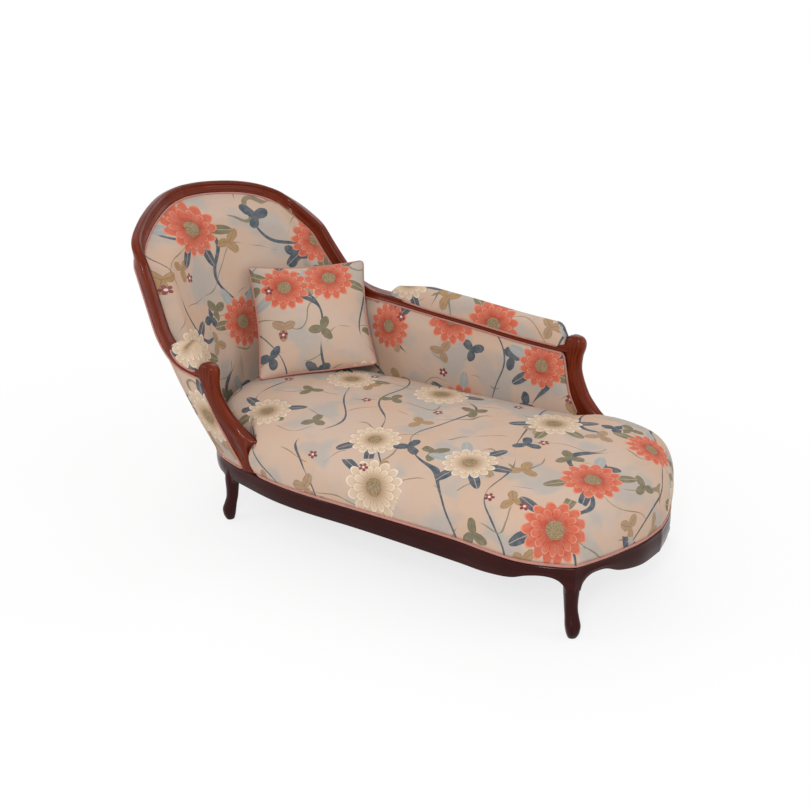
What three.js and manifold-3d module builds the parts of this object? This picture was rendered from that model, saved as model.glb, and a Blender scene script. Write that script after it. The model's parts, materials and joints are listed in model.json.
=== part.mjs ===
// Recamier with a barrel back, one short arm, one long arm and a bowed foot end.
// Millimetres, +Z up. The head end is at -X, the foot end at +X, and the open side faces -Y.

import * as THREE from 'three';
import { mergeVertices } from 'three/addons/utils/BufferGeometryUtils.js';
import Module from 'manifold-3d';

const wasm = await Module();
wasm.setup();

// Fits and cuts
const joint_gap = 0.3;
const layer_gap = 0.8;
const tenon_clearance = 0.4;
const cut_overrun = 6;

// Seat frame
const rail_top = 207;
const rail_bottom = 150;
const rail_thickness = 42;
const rail_bevel = 5;
const apron_thickness = 20;
const apron_lip = 1;
const head_reach = 653;
const foot_reach = 892;
const seat_half_width = 378;
const scallop_depth = 25;
const plan_shift = 2.5;

// Legs and their blocks in the seat frame
const head_leg_share = 0.7105;
const foot_leg_share = 0.8645;
const leg_block_length = 60;
const leg_size = 42;
const head_leg_kick = 25;
const foot_leg_kick = 38;

// Show frame of the back and arms
const back_height = 1003;
const crest_overhang = 249;
const arm_flare = 32;
const arch_face = 42;
const arch_depth = 32;
const arm_face = 24;
const arm_depth = 54;
const frame_bevel = 6;
const near_arm_z = 540;
const far_arm_z = 567;
const near_wall_lead = 11;
const far_wall_lag = 7.4;
const near_joint_share = 0.361;
const far_joint_share = 0.65;
const near_crest_joint_share = 0.704;
const far_crest_joint_share = 0.922;

// Wall of the back and arms: it leans back with height and flares out to the width of the arms
const post_foot_share = 0.6738;
const flare_height = 443;

// Arm stumps
const near_stump_share = 0.536;
const far_stump_share = 0.611;
const stump_size = 48;
const near_stump_height = 363;
const far_stump_height = 393;

// Posts and slat hidden in the back
const upright_width = 44;
const upright_thickness = 13;
const wall_clearance = 3.5;
const upright_levels = 6;

// Braces and blocks under the seat
const brace_width = 45;
const brace_height = 22;
const head_brace_share = 0.3446;
const foot_brace_share = 0.2298;
const block_depth = 30;
const block_height = 24;
const block_reach = 62;

// Tenons
const tenon_length = 16;
const tenon_width = 16;
const tenon_height = 26;
const rail_tenon_height = 15;

// Springing of the seat
const webbing_width = 55;
const webbing_thickness = 2;
const webbing_lap = 16;
const spring_height = 136;
const spring_mouth_radius = 42;
const spring_waist_radius = 27;
const spring_wire = 4.6;
const spring_turns = 4;
const spring_row_share = 0.45;
const spring_columns = 5;
const first_spring_share = 0.51;
const last_spring_share = 0.591;
const dust_cover_thickness = 1.2;
const dust_cover_inset = 22;
const hessian_thickness = 1.6;

// Seat upholstery
const seat_crown = 397;
const cover_thickness = 2.6;
const cover_inset = 2;
const wall_inset = 70;
const ear_length = 38;
const ear_start = 42;
const shoulder_depth = 24;
const wall_shoulder = 10;
const welt_diameter = 8;
const spine_head_share = 0.5054;
const spine_foot_share = 0.6278;

// Upholstery of the back and arms
const outer_cover_thickness = 2.6;
const outer_cover_depth = 1.5;
const cloth_setback = 26;
const panel_setback = 42;
const back_padding = 24;
const stump_padding = 16;
const panel_roll = 70;
const wall_pitch = 54;
const panel_recess = 1.5;
const back_swell = 30;
const arm_swell = 12;
const near_pad_height = 84;
const far_pad_height = 71;
const pad_margin = 2;
const pad_sink = 3;

// Throw pillow
const pillow_size = 407;
const pillow_thickness = 132;
const pillow_edge = 5;
const pillow_stand_off = 298;
const pillow_side_share = 0.457;
const pillow_lift = 0.5;
const pillow_yaw_share = -44 / 180;
const pillow_lean_share = 35.5 / 180;

// Plan of the seat frame from the middle of the head end to the middle of the foot end: shares of the
// reach to that end, of the half width, and of the scallop's depth by which the lower edge is raised.
const plan_shares = [
  [-1, 0, -0.1],
  [-0.98, 0.3, -0.1],
  [-0.905, 0.565, -0.1],
  [-0.8, 0.735, -0.1],
  [-0.674, 0.832, -0.1],
  [-0.535, 0.9, -0.1],
  [-0.392, 0.958, -0.1],
  [-0.285, 0.985, -0.1],
  [-0.15, 1, -0.1],
  [0.112, 1, -0.1],
  [0.49, 1.005, -0.4],
  [0.6, 1.035, -0.25],
  [0.69, 1.046, 0.2],
  [0.735, 1.03, 0.75],
  [0.78, 0.998, 1],
  [0.825, 0.95, 0.85],
  [0.862, 0.885, 0.8],
  [0.892, 0.8, 0.95],
  [0.926, 0.655, 1],
  [0.952, 0.5, 0],
  [0.984, 0.275, -0.6],
  [1, 0, -0.7],
];

// Outer edge of the show wood from each scroll up to the crest: shares of the run from that stump to the
// head, measured at the foot of the wall, and of the rise.
const near_edge_shares = [
  [0, 0],
  [0.178, 0.011],
  [0.317, 0.048],
  [0.381, 0.13],
  [0.406, 0.238],
  [0.419, 0.421],
  [0.432, 0.572],
  [0.463, 0.691],
  [0.54, 0.747],
  [0.651, 0.795],
  [0.746, 0.842],
  [0.822, 0.89],
  [0.895, 0.933],
  [0.971, 0.972],
];
const far_edge_shares = [
  [0, 0],
  [0.046, 0.003],
  [0.154, 0.024],
  [0.282, 0.064],
  [0.415, 0.101],
  [0.575, 0.148],
  [0.631, 0.163],
  [0.672, 0.196],
  [0.704, 0.262],
  [0.725, 0.349],
  [0.753, 0.498],
  [0.776, 0.628],
  [0.807, 0.702],
  [0.858, 0.794],
  [0.905, 0.885],
  [0.942, 0.954],
  [0.971, 0.989],
];

// Stump from foot to scroll: shares of its height, its sweep, its lean, and of its size to the front,
// to the back and across.
const stump_shares = [
  [0, 0, 0, 0.62, 0.72, 0.92],
  [0.075, 0.03, 0.03, 0.54, 0.86, 0.92],
  [0.16, 0.1, 0.1, 0.46, 1, 0.94],
  [0.25, 0.2, 0.2, 0.78, 1.02, 0.96],
  [0.31, 0.3, 0.28, 1.46, 0.98, 1],
  [0.37, 0.42, 0.36, 0.9, 0.94, 1],
  [0.53, 0.83, 0.58, 0.66, 0.66, 1],
  [0.7, 1.08, 0.8, 0.62, 0.46, 0.96],
  [0.82, 1.07, 0.93, 0.66, 0.58, 1],
  [0.905, 1, 1, 0.76, 0.78, 1.04],
  [0.965, 0.98, 1, 0.64, 0.66, 1],
  [1, 0.98, 1, 0.34, 0.34, 0.82],
];

// Leg from the block down: shares of the rail's underside height, of the kick outwards and of the size.
const leg_shares = [
  [1.3, 0, 0.9],
  [0.98, 0.3, 1],
  [0.84, 0.33, 0.93],
  [0.66, 0.37, 0.79],
  [0.5, 0.48, 0.74],
  [0.38, 0.72, 0.78],
  [0.25, 0.96, 0.86],
  [0.13, 1, 0.74],
  [0.05, 0.97, 0.6],
  [0, 0.93, 0.5],
];

// Dome of the seat: shares of its rise above the rim and of the way in towards the middle line.
const dome_shares = [
  [0, 0],
  [0.25, -0.012],
  [0.5, 0.004],
  [0.7, 0.056],
  [0.86, 0.16],
  [0.955, 0.35],
  [1, 0.68],
];

// Levels of the wall's cloth from the rail to the show wood: shares of the height.
const level_shares = [0, 0.16, 0.34, 0.52, 0.7, 0.86, 1];

// Arm pads in section: shares of the half width and of the height.
const pad_section_shares = [
  [-0.9, 0],
  [-1.02, 0.3],
  [-0.94, 0.62],
  [-0.66, 0.88],
  [-0.22, 1],
  [0.22, 1],
  [0.66, 0.88],
  [0.94, 0.62],
  [1.02, 0.3],
  [0.9, 0],
];

const mahogany = { color: 0x5e1f0f, roughness: 0.28, metalness: 0 };
const show_wood = { color: 0x7a2f16, roughness: 0.25, metalness: 0 };
const beech = { color: 0xb98a5a, roughness: 0.7, metalness: 0 };
const floral_cloth = { color: 0xdcc0ad, roughness: 0.85, metalness: 0 };
const welt_cloth = { color: 0xd98878, roughness: 0.8, metalness: 0 };
const jute = { color: 0x9a7d55, roughness: 0.95, metalness: 0 };
const horsehair = { color: 0x4a3a2c, roughness: 0.95, metalness: 0 };
const spring_steel = { color: 0x8a8c90, roughness: 0.4, metalness: 1 };
const black_cambric = { color: 0x1c1b1d, roughness: 0.95, metalness: 0 };

const recamier = new THREE.Group();

/** Adds one named solid to the recamier. */
function add(name, geometry, finish) {
  const mesh = new THREE.Mesh(geometry, new THREE.MeshStandardMaterial(finish));
  mesh.name = name;
  recamier.add(mesh);
  return mesh;
}

function smooth(share) {
  const held = Math.min(1, Math.max(0, share));
  return held * held * (3 - 2 * held);
}

function mix(a, b, share) {
  return a + (b - a) * share;
}

/** Evenly spaced values from a to b, both included. */
function spread(a, b, count) {
  return Array.from({ length: count }, (_, i) => mix(a, b, i / (count - 1)));
}

/** Signed volume of an indexed triangle mesh. */
function signedVolume(positions, indices) {
  let volume = 0;
  const corner = (i) => new THREE.Vector3().fromArray(positions, indices[i] * 3);
  for (let i = 0; i < indices.length; i += 3) {
    volume += corner(i).dot(corner(i + 1).cross(corner(i + 2)));
  }
  return volume;
}

/** Joins rings with equal numbers of points into one closed body. Flat caps lie in the XY plane. */
function loft(rings, flatCaps = false, stripCaps = false) {
  const count = rings[0].length;
  const positions = rings.flat().flatMap((p) => [p.x, p.y, p.z]);
  const indices = [];
  for (let i = 0; i < rings.length - 1; i++) {
    for (let j = 0; j < count; j++) {
      const k = (j + 1) % count;
      const [a, b, c, d] = [i * count + j, i * count + k, (i + 1) * count + k, (i + 1) * count + j];
      const falling = rings[i][j].distanceTo(rings[i + 1][k]);
      const rising = rings[i][k].distanceTo(rings[i + 1][j]);
      indices.push(...(falling <= rising ? [a, b, c, a, c, d] : [a, b, d, b, c, d]));
    }
  }
  const last = (rings.length - 1) * count;
  const capFaces = (ring) => {
    if (flatCaps) {
      return THREE.ShapeUtils.triangulateShape(ring.map((p) => new THREE.Vector2(p.x, p.y)), []);
    }
    if (stripCaps) {
      return Array.from({ length: count / 2 - 1 }, (_, j) => [
        [j, j + 1, count - 2 - j],
        [j, count - 2 - j, count - 1 - j],
      ]).flat();
    }
    return Array.from({ length: count - 2 }, (_, j) => [0, j + 1, j + 2]);
  };
  const turn = (ring) => (flatCaps && THREE.ShapeUtils.isClockWise(ring) ? -1 : 1);
  for (const [a, b, c] of capFaces(rings[0])) {
    const faces = turn(rings[0]) > 0 ? [a, c, b] : [a, b, c];
    indices.push(...faces);
  }
  for (const [a, b, c] of capFaces(rings[rings.length - 1])) {
    const faces = turn(rings[rings.length - 1]) > 0 ? [a, b, c] : [a, c, b];
    indices.push(...faces.map((i) => i + last));
  }
  if (signedVolume(positions, indices) < 0) {
    indices.reverse();
  }
  const geometry = new THREE.BufferGeometry();
  geometry.setAttribute('position', new THREE.Float32BufferAttribute(positions, 3));
  geometry.setIndex(indices);
  return geometry;
}

/** Joins rings that are two equal runs of points, out and back, so that their caps are strips. */
function loftStrips(rings) {
  return loft(rings, false, true);
}

function toSolid(geometry) {
  const bare = geometry.clone();
  bare.deleteAttribute('normal');
  bare.deleteAttribute('uv');
  const merged = mergeVertices(bare);
  const vertProperties = new Float32Array(merged.attributes.position.array);
  const triVerts = new Uint32Array(merged.index.array);
  return new wasm.Manifold(new wasm.Mesh({ numProp: 3, vertProperties, triVerts }));
}

function toGeometry(solid) {
  const { vertProperties, triVerts } = solid.getMesh();
  const geometry = new THREE.BufferGeometry();
  geometry.setAttribute('position', new THREE.BufferAttribute(new Float32Array(vertProperties), 3));
  geometry.setIndex(new THREE.BufferAttribute(new Uint32Array(triVerts), 1));
  return geometry;
}

function united(a, b) {
  return toGeometry(toSolid(a).add(toSolid(b)));
}

function cutBy(a, b) {
  return toGeometry(toSolid(a).subtract(toSolid(b)));
}

/** A block whose length lies along a direction and whose height lies towards an up vector. */
function blockAlong(centre, direction, up, length, width, height) {
  const along = direction.clone().normalize();
  const across = new THREE.Vector3().crossVectors(up, along).normalize();
  const lift = new THREE.Vector3().crossVectors(along, across);
  const frame = new THREE.Matrix4().makeBasis(along, across, lift).setPosition(centre);
  return new THREE.BoxGeometry(length, width, height).applyMatrix4(frame);
}

/** Gives one piece a tenon at a place and cuts the mortise for it in the other piece. */
function tenonJoint(male, female, place, direction, up, width = tenon_width, height = tenon_height) {
  const along = direction.clone().normalize();
  const root = tenon_length / 4;
  const tenonCentre = place.clone().addScaledVector(along, (tenon_length - root) / 2);
  const tenon = blockAlong(tenonCentre, along, up, tenon_length + root, width, height);
  const mortise = blockAlong(
    place.clone().addScaledVector(along, (tenon_length + tenon_clearance - cut_overrun) / 2),
    along,
    up,
    tenon_length + tenon_clearance + cut_overrun,
    width + 2 * tenon_clearance,
    height + 2 * tenon_clearance,
  );
  return [united(male, tenon), cutBy(female, mortise)];
}

// Plan of the seat frame. A plan place runs from -1 at the foot end, along the near side, through 0 at
// the head end, and along the far side to 1 at the foot end.

const half_plan = new THREE.CatmullRomCurve3(
  plan_shares.map(([x, y, lift]) => {
    const reach = x < 0 ? head_reach : foot_reach;
    return new THREE.Vector3(x * reach, y * seat_half_width, lift * scallop_depth);
  }),
  false,
  'centripetal',
);
half_plan.arcLengthDivisions = 600;
const half_plan_length = half_plan.getLength();

function planPoint(place) {
  const p = half_plan.getPointAt(Math.min(1, Math.abs(place)));
  return new THREE.Vector3(p.x, Math.sign(place) * p.y, 0);
}

function scallopLift(place) {
  return half_plan.getPointAt(Math.min(1, Math.abs(place))).z;
}

/** Unit vector along the plan at a place. */
function planTangent(place) {
  const step = 0.002;
  const from = planPoint(Math.max(-1, place - step));
  const to = planPoint(Math.min(1, place + step));
  if (Math.abs(place) > 1 - step) {
    return new THREE.Vector3(0, -1, 0);
  }
  return to.sub(from).normalize();
}

function planInward(place) {
  const tangent = planTangent(place);
  return new THREE.Vector3(tangent.y, -tangent.x, 0);
}

/** A point of the seat frame at a distance in from its outer face, at a height. */
function framePoint(place, inset, z) {
  const p = planPoint(place).addScaledVector(planInward(place), inset);
  return p.setZ(z);
}

/** The plan place of a given x on the near side (-1) or the far side (1). */
function placeAtX(x, side) {
  let low = 0;
  let high = 1;
  for (let i = 0; i < 40; i++) {
    const middle = (low + high) / 2;
    if (half_plan.getPointAt(middle).x < x) {
      low = middle;
    } else {
      high = middle;
    }
  }
  return (side * (low + high)) / 2;
}

function planStep(length) {
  return length / half_plan_length;
}

// Wall of the back and arms, over the plan of the seat frame

const flare_ease = 1.6;
const arm_half_width = seat_half_width + arm_flare;
const near_stump_x = -near_stump_share * head_reach;
const far_stump_x = far_stump_share * foot_reach;
const near_foot_x = near_stump_x + near_wall_lead;
const far_foot_x = far_stump_x - far_wall_lag;
const near_scroll_x = near_foot_x - leanBack(near_arm_z);
const far_scroll_x = far_foot_x - leanBack(far_arm_z);
const post_half_width = planPoint(placeAtX(-post_foot_share * head_reach, 1)).y;

/** How far the wall has leant back towards the head at a height. */
function leanBack(z) {
  return mix(0, crest_overhang, (z - rail_top) / (back_height - rail_top));
}

/** A point of the wall's outer face at a plan place and a height. */
function wallFace(place, z) {
  const foot = planPoint(place);
  const rise = z - rail_top;
  const width = Math.abs(foot.y);
  const share = Math.min(1, width / post_half_width);
  const target = mix(width, arm_half_width, smooth(share * share * share));
  const eased = 1 - Math.pow(1 - Math.min(1, Math.max(0, rise / flare_height)), flare_ease);
  return new THREE.Vector3(foot.x - leanBack(z), Math.sign(place) * mix(width, target, eased), z);
}

/** Unit vector into the piece, square to the wall. */
function wallNormal(place, z) {
  const step = 0.002;
  const lift = 1;
  const along = wallFace(place + step, z).sub(wallFace(place - step, z));
  const up = wallFace(place, z + lift).sub(wallFace(place, z - lift));
  return along.cross(up).normalize();
}

/** A point at a depth behind the wall's outer face, on the same level. */
function wallPoint(place, z, depth) {
  const normal = wallNormal(place, z);
  const level = Math.hypot(normal.x, normal.y);
  const inward = normal.setZ(0).normalize();
  return wallFace(place, z).addScaledVector(inward, depth / level);
}

// Show wood of the back and arms. A show place runs from 0 at the near scroll over the crest to 1 at
// the far scroll.

function edgeKnot([run, rise], foot_x, arm_z, side) {
  const place = placeAtX(mix(foot_x, -head_reach, run), side);
  return new THREE.Vector3(place * half_plan_length, 0, mix(arm_z, back_height, rise));
}

const show_edge = new THREE.CatmullRomCurve3(
  [
    ...near_edge_shares.map((row) => edgeKnot(row, near_foot_x, near_arm_z, -1)),
    new THREE.Vector3(0, 0, back_height),
    ...far_edge_shares.map((row) => edgeKnot(row, far_foot_x, far_arm_z, 1)).reverse(),
  ],
  false,
  'centripetal',
);
show_edge.arcLengthDivisions = 800;
const show_edge_length = show_edge.getLength();

/** The plan place and the height of the show edge at a show place, moved towards the panels. */
function edgeAt(show, down = 0) {
  const held = Math.min(1, Math.max(0, show));
  const p = show_edge.getPointAt(held);
  const along = show_edge.getTangentAt(held);
  return { place: (p.x + along.z * down) / half_plan_length, z: p.z - along.x * down };
}

function edgePoint(show) {
  const { place, z } = edgeAt(show);
  return wallFace(place, z);
}

/** The show place that stands over a plan place. */
function showOver(place) {
  let [a, b] = [0, 1];
  for (let i = 0; i < 40; i++) {
    const middle = (a + b) / 2;
    if (edgeAt(middle).place < place) {
      a = middle;
    } else {
      b = middle;
    }
  }
  return (a + b) / 2;
}

function showStep(length) {
  return length / show_edge_length;
}

/** The show place of a joint, at a share of the run from a scroll to the head. */
function jointAt(share, foot_x, side) {
  return showOver(placeAtX(mix(foot_x, -head_reach, share), side));
}

const near_joint_place = jointAt(near_joint_share, near_foot_x, -1);
const far_joint_place = jointAt(far_joint_share, far_foot_x, 1);
const near_crest_joint = jointAt(near_crest_joint_share, near_foot_x, -1);
const far_crest_joint = jointAt(far_crest_joint_share, far_foot_x, 1);
const near_stump_place = placeAtX(near_stump_x, -1);
const far_stump_place = placeAtX(far_stump_x, 1);

/** How much of the show wood's section belongs to the arms (1) rather than to the arch (0). */
function armShare(show) {
  const blend = showStep(3 * arch_face);
  const middle_share = 0.5;
  const near = 1 - smooth((show - near_joint_place) / blend + middle_share);
  const far = smooth((show - far_joint_place) / blend + middle_share);
  return Math.max(near, far);
}

function showFace(show) {
  return mix(arch_face, arm_face, armShare(show));
}

function showDepth(show) {
  return mix(arch_depth, arm_depth, armShare(show));
}

/** The directions of the show wood: along it, into the piece, and square to both towards the panels. */
function showFrame(show) {
  const step = 0.002;
  const along = edgePoint(show + step).sub(edgePoint(show - step)).normalize();
  const { place, z } = edgeAt(show);
  const inward = wallNormal(place, z);
  const square = new THREE.Vector3().crossVectors(along, inward).normalize();
  inward.crossVectors(square, along).normalize();
  return { along, inward, square };
}

/** The outline of the show wood across a show place, grown by a clearance where it is used to cut. */
function showSection(show, grow = 0) {
  const { inward, square } = showFrame(show);
  const edge = edgePoint(show);
  const face = showFace(show) + grow;
  const depth = showDepth(show) + grow;
  const b = frame_bevel;
  const corners = [
    [-grow, b],
    [b, -grow],
    [face - b / 2, -grow],
    [face, b / 2],
    [face, depth - b],
    [face - b, depth],
    [b * 2, depth],
    [-grow, depth - b],
  ];
  return corners.map(([down, deep]) => (
    edge.clone().addScaledVector(square, down).addScaledVector(inward, deep)
  ));
}

function showStretch(from, to, count, grow = 0) {
  return loft(spread(from, to, count).map((show) => showSection(show, grow)));
}

function showMiddle(show) {
  const corners = showSection(show);
  return corners.reduce((sum, p) => sum.add(p), new THREE.Vector3()).divideScalar(corners.length);
}

// Seat frame

const frame_underside = rail_bottom + scallop_depth + apron_lip;

/** Section of a rail: a flat underside for the webbing behind a shaped apron. */
function railSection(place, grow = 0) {
  const low = rail_bottom + scallopLift(place) - grow;
  const b = rail_bevel;
  return [
    framePoint(place, apron_thickness + grow, frame_underside - grow),
    framePoint(place, apron_thickness + grow, low),
    framePoint(place, b, low),
    framePoint(place, -grow, low + b / 2),
    framePoint(place, -grow, rail_top - b),
    framePoint(place, b, rail_top + grow),
    framePoint(place, rail_thickness + grow, rail_top + grow),
    framePoint(place, rail_thickness + grow, frame_underside - grow),
  ];
}

function railStretch(from, to, count, grow = 0) {
  return loft(spread(from, to, count).map((place) => railSection(place, grow)));
}

/** The foot rail passes the end of the plan, where near and far places meet. */
function footRailStretch(near, far, count, grow = 0) {
  const near_half = spread(near, -1, count).map((place) => railSection(place, grow));
  const far_half = spread(1, far, count).slice(1).map((place) => railSection(place, grow));
  return loft([...near_half, ...far_half]);
}

const leg_half = planStep(leg_block_length / 2);
const rail_end_gap = planStep(joint_gap);
const head_leg_place = placeAtX(-head_leg_share * head_reach, 1);
const foot_leg_place = placeAtX(foot_leg_share * foot_reach, 1);
const side_rail_start = head_leg_place + leg_half + rail_end_gap;
const side_rail_end = foot_leg_place - leg_half - rail_end_gap;
const foot_rail_start = foot_leg_place + leg_half + rail_end_gap;
const head_rail_start = head_leg_place - leg_half - rail_end_gap;

/** A cabriole leg with the block that stands in the seat frame over it, kicked outwards at the foot. */
function makeLeg(place, kick_out, grow = 0) {
  const reach = leg_half + planStep(grow);
  const block = railStretch(place - reach, place + reach, 4, grow);
  const outward = planInward(place).negate();
  const along = planTangent(place);
  const middle = framePoint(place, rail_thickness / 2, 0);
  const rings = leg_shares.map(([height, kick, size]) => {
    const centre = middle.clone().addScaledVector(outward, kick * kick_out);
    centre.z = height * rail_bottom;
    const half = (size * leg_size) / 2 + grow;
    const corner_share = 0.62;
    const corners = [
      [1, corner_share], [corner_share, 1], [-corner_share, 1], [-1, corner_share],
      [-1, -corner_share], [-corner_share, -1], [corner_share, -1], [1, -corner_share],
    ];
    return corners.map(([a, b]) => (
      centre.clone().addScaledVector(outward, a * half).addScaledVector(along, b * half)
    ));
  });
  return united(block, loft(rings));
}

const side_rail_stations = 25;
const head_rail_stations = 17;
const foot_rail_stations = 9;
const pieces = {};
const cutters = {};
for (const [name, side] of [['near', -1], ['far', 1]]) {
  const [from, to] = [side * side_rail_start, side * side_rail_end];
  pieces[`${name}_side_rail`] = railStretch(from, to, side_rail_stations);
  cutters[`${name}_side_rail`] = railStretch(from, to, side_rail_stations, joint_gap);
  const ends = [['head', head_leg_place, head_leg_kick], ['foot', foot_leg_place, foot_leg_kick]];
  for (const [end, place, kick_out] of ends) {
    pieces[`${end}_${name}_leg`] = makeLeg(side * place, kick_out);
    cutters[`${end}_${name}_leg`] = makeLeg(side * place, kick_out, joint_gap);
  }
}
pieces.head_rail = railStretch(-head_rail_start, head_rail_start, head_rail_stations);
cutters.head_rail = railStretch(-head_rail_start, head_rail_start, head_rail_stations, joint_gap);
pieces.foot_rail = footRailStretch(-foot_rail_start, foot_rail_start, foot_rail_stations);
cutters.foot_rail = footRailStretch(-foot_rail_start, foot_rail_start, foot_rail_stations, joint_gap);

/** Cuts a piece back from its neighbours, which leaves the joint gap between them. */
function fitted(geometry, neighbours) {
  let solid = toSolid(geometry);
  for (const name of neighbours) {
    solid = solid.subtract(toSolid(cutters[name]));
  }
  return toGeometry(solid);
}

/** Cuts a rail's tenon into a leg block at a plan place; the way is 1 towards the foot end. */
function railToLeg(rail, leg, place, way) {
  const centre_z = (rail_top + frame_underside) / 2;
  const at = framePoint(place, rail_thickness / 2, centre_z);
  const direction = planTangent(place).multiplyScalar(way);
  [pieces[rail], pieces[leg]] = tenonJoint(
    pieces[rail],
    pieces[leg],
    at,
    direction,
    new THREE.Vector3(0, 0, 1),
    tenon_width,
    rail_tenon_height,
  );
}

for (const [name, side] of [['near', -1], ['far', 1]]) {
  railToLeg(`${name}_side_rail`, `head_${name}_leg`, side * side_rail_start, -side);
  railToLeg(`${name}_side_rail`, `foot_${name}_leg`, side * side_rail_end, side);
  railToLeg('head_rail', `head_${name}_leg`, side * head_rail_start, side);
  railToLeg('foot_rail', `foot_${name}_leg`, side * foot_rail_start, -side);
}

// Arm stumps, with their scrolls at the top

/** A stump that stands on the side rail, sweeps back and leans out to its scroll. */
function makeStump(place, scroll_x, height, grow = 0) {
  const side = Math.sign(place);
  const base = framePoint(place, stump_size / 2, rail_top + joint_gap);
  const head = new THREE.Vector3(scroll_x, side * (arm_half_width - stump_size / 2), 0);
  const scroll_share = 0.9;
  const rings = stump_shares.map(([rise, sweep, lean, front, back, across]) => {
    const x = mix(base.x, head.x, sweep);
    const y = mix(base.y, head.y, lean);
    const z = base.z + rise * height + (rise > scroll_share ? grow : -grow);
    const [f, b, w] = [
      front * stump_size + grow, -back * stump_size - grow, (across * stump_size) / 2 + grow,
    ];
    const nose_share = 0.55;
    const corners = [
      [f, w * nose_share], [f * nose_share, w], [b * nose_share, w], [b, w * nose_share],
      [b, -w * nose_share], [b * nose_share, -w], [f * nose_share, -w], [f, -w * nose_share],
    ];
    return corners.map(([dx, dy]) => new THREE.Vector3(x + dx, y + dy, z));
  });
  return loft(rings);
}

pieces.near_arm_stump = makeStump(near_stump_place, near_scroll_x, near_stump_height);
pieces.far_arm_stump = makeStump(far_stump_place, far_scroll_x, far_stump_height);
cutters.near_arm_stump = makeStump(near_stump_place, near_scroll_x, near_stump_height, joint_gap);
cutters.far_arm_stump = makeStump(far_stump_place, far_scroll_x, far_stump_height, joint_gap);

for (const [name, place] of [['near', near_stump_place], ['far', far_stump_place]]) {
  [pieces[`${name}_arm_stump`], pieces[`${name}_side_rail`]] = tenonJoint(
    pieces[`${name}_arm_stump`],
    pieces[`${name}_side_rail`],
    framePoint(place, rail_thickness / 2, rail_top),
    new THREE.Vector3(0, 0, -1),
    planTangent(place),
  );
}

// Show wood: crest rail, two posts and two arm rails

const show_gap = showStep(joint_gap / 2);
const arm_end = showStep(stump_size / 2);
const show_runs = {
  near_arm_rail: [0, near_joint_place - show_gap, 9],
  near_back_post: [near_joint_place + show_gap, near_crest_joint - show_gap, 16],
  crest_rail: [near_crest_joint + show_gap, far_crest_joint - show_gap, 14],
  far_back_post: [far_crest_joint + show_gap, far_joint_place - show_gap, 19],
  far_arm_rail: [far_joint_place + show_gap, 1, 12],
};
for (const [name, [from, to, count]] of Object.entries(show_runs)) {
  const lap = 2 * show_gap;
  cutters[name] = showStretch(Math.max(0, from - lap), Math.min(1, to + lap), count, joint_gap);
  const shape = showStretch(from, to, count);
  const side = name.split('_')[0];
  pieces[name] = name.endsWith('arm_rail') ? fitted(shape, [`${side}_arm_stump`]) : shape;
}

/** Joins two neighbours of the show wood with a tenon on the first at a show place. */
function showJoint(male, female, place, way) {
  const { along, square } = showFrame(place);
  [pieces[male], pieces[female]] = tenonJoint(
    pieces[male],
    pieces[female],
    showMiddle(place),
    along.multiplyScalar(way),
    square,
    arch_depth / 3,
    arm_face / 2,
  );
}

showJoint('near_back_post', 'crest_rail', near_crest_joint - show_gap, 1);
showJoint('far_back_post', 'crest_rail', far_crest_joint + show_gap, -1);
showJoint('near_arm_rail', 'near_back_post', near_joint_place - show_gap, 1);
showJoint('far_arm_rail', 'far_back_post', far_joint_place + show_gap, -1);

// Hidden uprights and centre slat, which stand on the head rail and carry the arch

/** Depth, from the outer face, of the layers of the wall. */
const upright_depth = outer_cover_depth + outer_cover_thickness + wall_clearance;
const wall_hessian_depth = upright_depth + upright_thickness + wall_clearance;
const padding_depth = wall_hessian_depth + hessian_thickness + layer_gap;
const arch_names = ['near_arm_rail', 'near_back_post', 'crest_rail', 'far_back_post', 'far_arm_rail'];

function makeUpright(place) {
  const half = planStep(upright_width / 2);
  const shows = [place - half, place, place + half].map(showOver);
  const top = Math.min(...shows.map((show) => edgeAt(show, showFace(show) / 2).z));
  const rings = spread(rail_top + joint_gap, top, upright_levels).map((z) => [
    wallPoint(place - half, z, upright_depth),
    wallPoint(place + half, z, upright_depth),
    wallPoint(place + half, z, upright_depth + upright_thickness),
    wallPoint(place - half, z, upright_depth + upright_thickness),
  ]);
  return fitted(loft(rings), arch_names);
}

pieces.near_back_upright = makeUpright(-head_leg_place);
pieces.centre_back_slat = makeUpright(0);
pieces.far_back_upright = makeUpright(head_leg_place);

// Braces and corner blocks under the seat

/** A brace from side rail to side rail, tenoned into both. */
function makeBrace(name, x) {
  const half = planPoint(placeAtX(x, 1)).y - rail_thickness;
  const z = frame_underside + brace_height / 2;
  const brace = new THREE.BoxGeometry(brace_width, 2 * half + brace_width, brace_height).translate(x, 0, z);
  pieces[name] = fitted(brace, ['near_side_rail', 'far_side_rail']);
  for (const [side_name, side] of [['near', -1], ['far', 1]]) {
    [pieces[name], pieces[`${side_name}_side_rail`]] = tenonJoint(
      pieces[name],
      pieces[`${side_name}_side_rail`],
      new THREE.Vector3(x, side * half, z),
      new THREE.Vector3(0, side, 0),
      new THREE.Vector3(1, 0, 0),
      brace_height / 2,
    );
  }
}

makeBrace('head_cross_brace', -head_brace_share * head_reach);
makeBrace('foot_cross_brace', foot_brace_share * foot_reach);

/** A block glued inside the frame across a leg's joints. */
function makeCornerBlock(place, neighbours) {
  const reach = planStep(block_reach);
  const top = rail_top - rail_bevel;
  const outer = rail_thickness - rail_bevel;
  const inner = rail_thickness + block_depth;
  const rings = spread(place - reach, place + reach, 5).map((at) => [
    framePoint(at, outer, top),
    framePoint(at, inner, top),
    framePoint(at, inner, top - block_height),
    framePoint(at, outer, top - block_height),
  ]);
  return fitted(loft(rings), neighbours);
}

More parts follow.
